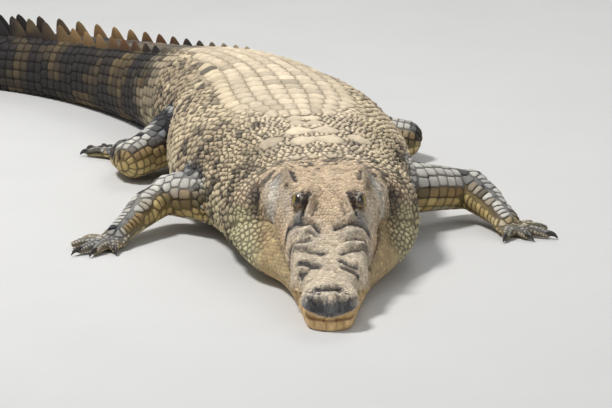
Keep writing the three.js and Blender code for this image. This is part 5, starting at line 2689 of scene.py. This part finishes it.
        # Half of each scale's size on its own patch of the map.
        patch = np.stack([reach * np.sin(turn), reach * np.cos(turn)], 2) / reach.max(1)[:, None, None]
        rims = [patch * share for share in (1.0, 0.93, 0.78, 0.4)]
        sheet = np.concatenate([*rims, np.zeros((count, 1, 2))], 1)
        hide = markings_and_shading(group.spot * MM, group.facing)
        # Each scale is painted darker down its rim and paler on its crown: painted shade on its sides and a
        # painted highlight on top; the shield's scutes are shaded most at their left and right edges.
        tone = np.concatenate([
            np.full(spokes, cut.rim), np.full(spokes, 0.3 + 0.7 * cut.rim), np.full(spokes, 0.94),
            np.full(spokes, 1.04), [1.1],
        ])
        tone = np.tile(tone, (count, 1))
        if group.sort is Sort.SHIELD:
            sides = 1 - 0.5 * np.abs(np.sin(turn)) ** 6
            tone[:, : 2 * spokes] *= np.tile(sides, 2)
        vary = 1 + self.chance.normal(0, 0.05 + 0.45 * cut.ragged, (count, 1, 1))
        colours = np.clip(hide[:, None] * tone[:, :, None] * vary, 0, 1)
        return {"points": points, "sheet": sheet, "colours": colours, "chart": group.chart, "spokes": spokes}

    def _snap(self, points: Array) -> tuple[Array, Array]:
        """The nearest points of the skin, and its normals there.

        Args:
            points: positions in millimetres.

        Returns:
            Points and normals.
        """
        flat = points.reshape(-1, 3) * MM
        found = [self.tree.find_nearest(Vector(point))[:2] for point in flat]
        place = np.array([item[0] for item in found]) / MM
        normal = np.array([item[1] for item in found])
        return place.reshape(points.shape), normal.reshape(points.shape)

    def _between(self, middle: Array, halfway: Array, rim: Array, share: float) -> Array:
        """Points at a share of the way out, on the curve through middle, halfway and rim.

        Args:
            middle: the curve's start.
            halfway: its middle.
            rim: its end.
            share: how far out.

        Returns:
            The points.
        """
        return (
            middle * (2 * (share - 0.5) * (share - 1))
            + halfway * (4 * share * (1 - share))
            + rim * (2 * share * (share - 0.5))
        )

    def _piece(self, name: str, shapes: list[dict], finish: Material) -> None:
        """Joins scales into one object.

        Args:
            name: its name.
            shapes: what _shapes gives.
            finish: the material.
        """
        chart = np.concatenate([shape["chart"] for shape in shapes])
        low = chart.min(0)
        scale = 0.96 / (chart.max(0) - low).max()
        points, colours, corners, sizes, sheets = [], [], [], [], []
        first = 0
        for shape in shapes:
            spokes = shape["spokes"]
            count, verts = shape["points"].shape[:2]
            loops, counts = self._faces(spokes)
            base = first + np.arange(count)[:, None] * verts
            corners.append((base + loops[None]).ravel())
            sizes.append(np.tile(counts, count))
            root = 0.02 + (shape["chart"] - low) * scale
            sheet = root[:, None] + shape["sheet"] * 0.0015
            sheets.append(sheet[:, loops].reshape(-1, 2))
            points.append(shape["points"].reshape(-1, 3))
            colours.append(shape["colours"].reshape(-1, 3))
            first += count * verts
        corner, size = np.concatenate(corners), np.concatenate(sizes)
        mesh = bpy.data.meshes.new(name)
        mesh.vertices.add(first)
        mesh.vertices.foreach_set("co", (np.concatenate(points) * MM).ravel())
        mesh.loops.add(len(corner))
        mesh.loops.foreach_set("vertex_index", corner)
        mesh.polygons.add(len(size))
        mesh.polygons.foreach_set("loop_start", np.concatenate([[0], np.cumsum(size)[:-1]]))
        mesh.polygons.foreach_set("use_smooth", np.ones(len(size), bool))
        layer = mesh.uv_layers.new(name="OFBake")
        layer.data.foreach_set("uv", np.concatenate(sheets).ravel())
        mesh.update(calc_edges=True)
        item = bpy.data.objects.new(name, mesh)
        bpy.context.scene.collection.objects.link(item)
        colour_points(item, "hide", np.concatenate(colours))
        dress(item, finish, self._slot(name))

    def _slot(self, name: str) -> Slot:
        """The material slot of a piece of the coat.

        Args:
            name: its name.

        Returns:
            The slot.
        """
        if name == "scutes_back":
            return Slot.BACK
        if name == "scales_tail":
            return Slot.DARK_TAIL
        return Slot.LEG if "arm" in name or "leg" in name else Slot.FLANK

    def _faces(self, spokes: int) -> tuple[Array, Array]:
        """The faces of one scale, as corner numbers and how many corners each face has.

        Args:
            spokes: the corners of its outline.

        Returns:
            The corners in order, and each face's count.
        """
        k = np.arange(spokes)
        after = (k + 1) % spokes
        starts = [(spokes * ring, spokes * (ring + 1)) for ring in range(3)]
        quads = [np.stack([k + low, k + high, after + high, after + low], 1) for low, high in starts]
        cap = np.stack([k + spokes * 3, np.full(spokes, spokes * 4), after + spokes * 3], 1)
        loops = np.concatenate([*(quad.ravel() for quad in quads), cap.ravel(), k])
        return loops, np.concatenate([np.full(3 * spokes, 4), np.full(spokes, 3), [spokes]])


@dataclass
class Crest:
    """The upright blades along the tail: two rows that draw together into one.

    Args:
        merge: the place where the rows become one.
        sink: how deep a blade is rooted.
        thick: half a blade's thickness at its foot.
        rake: how far it leans back for its height.
        height: how far the blades stand up at each place.
    """

    merge: float = 3000.0
    sink: float = 12.0
    thick: float = 11.0
    rake: float = 0.45
    height: Rail = Rail(
        (1850, 5), (2100, 12), (2400, 26), (2700, 42), (2950, 58), (3200, 72), (3500, 66), (3800, 46),
        (3980, 18),
    )

    def build(self, finish: Material, markings_and_shading: Markings) -> None:
        """Builds them as one piece.

        Args:
            finish: the material.
            markings_and_shading: the hide's colours.
        """
        bm = bmesh.new()
        bm.loops.layers.uv.new("OFBake")
        for number in range(CREST_WHORLS):
            place = CREST_START + (number + 0.5) * CREST_PITCH
            for side in (1, -1) if place < self.merge else (0,):
                self._blade(bm, place, side)
        item = add_object("crest", bm)
        spots = measure(item)
        place, _ = SPINE.locate(spots / MM)
        tone = 0.55 + 0.5 * ramp(-0.01, 0.03, spots[:, 2] - BODY.top(place) * MM)
        hide = mix(markings_and_shading(spots, measure(item, "normal")), markings_and_shading.RUST, bump(place, 2370, 80) * 0.7)
        hide = mix(hide, markings_and_shading.OCHRE * 0.8, bump(place, 2570, 150) * 0.75)
        colour_points(item, "hide", hide * tone[:, None])
        dress(item, finish, Slot.DARK_TAIL)

    def _foot(self, place: float, side: int) -> tuple[float, float]:
        """A blade's distance out and the height of its root.

        Args:
            place: its place.
            side: 1, -1, or 0 on the midline.

        Returns:
            The two in millimetres.
        """
        wide = float(BODY.half_width(place))
        spread = wide * 0.42 * ramp(self.merge + 60, 2500, place)
        out = side * (spread + 8 * ramp(self.merge, self.merge - 60, place))
        full = float(BODY.back_fullness(place))
        rise = (1 - min(1, abs(out) / wide) ** full) ** (1 / full)
        widest = BODY.widest_at(place)
        return out, float(widest + (BODY.top(place) - widest) * rise) - self.sink

    def _blade(self, bm: Mesh, place: float, side: int) -> None:
        """Adds one blade: a flat fin leaning back, thick at its foot, which follows the tail's bend.

        Args:
            bm: the mesh to add to.
            place: its place.
            side: 1, -1, or 0 on the midline.
        """
        tall = float(self.height(place)) + self.sink
        out, foot = self._foot(place, side)
        fin = rod(20, 9)
        local = corners(fin.verts)
        share = local[:, 2] + 0.5
        shrink = np.sqrt(np.maximum(0, 1 - share**1.15)) * (1 - 0.25 * share) + 0.02
        along = local[:, 1] * shrink * CREST_PITCH * 0.56 + share * self.rake * tall
        across = local[:, 0] * shrink * self.thick * (0.62 - 0.3 * share)
        groove = 1 + 0.12 * np.sin(local[:, 1] * 14)
        point = SPINE.at(place + along, out + across * groove, foot + share * tall)
        spread = 0.0015 * local[:, :2] * (0.3 + 0.7 * (1 - share))[:, None]
        reach = 0.96 * (place - CREST_START) / (BODY_LENGTH - CREST_START)
        root = np.array([0.02 + reach, 0.5 + side * 0.02])
        sheet = {vert.index: root + flat for vert, flat in zip(fin.verts, spread)}
        layer = fin.loops.layers.uv.new("OFBake")
        for face in fin.faces:
            for loop in face.loops:
                loop[layer].uv = sheet[loop.vert.index]
        lay(fin.verts, point * MM)
        bmesh.ops.recalc_face_normals(fin, faces=fin.faces)
        append(bm, fin)


def merge(first: Roots, second: Roots) -> Roots:
    """Two sets of roots of the same sort as one.

    Args:
        first: the first.
        second: the second.

    Returns:
        The roots.
    """
    names = ("spot", "back", "half", "chart")
    rows = (np.concatenate([getattr(first, name), getattr(second, name)]) for name in names)
    return Roots(first.sort, *rows, first.limb)


def main() -> None:
    """Builds the crocodile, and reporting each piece."""
    logging.basicConfig(level=logging.INFO, format="%(name)s: %(message)s")
    hide, markings_and_shading = HideFinish("hide").build(), Markings()
    skin = Hull(Skin()).build(hide, markings_and_shading)
    Coat(skin).build(hide, markings_and_shading)
    Crest().build(hide, markings_and_shading)
    EyeBalls().build(EyeFinish().build())
    Claws().build(HornFinish("claw_horn", (34, 32, 34), (70, 62, 54), 0.42).build())
    Teeth().build(HornFinish("ivory", (204, 186, 146), (176, 150, 106), 0.35).build())
    Studio().build()


if __name__ == "__main__":
    main()
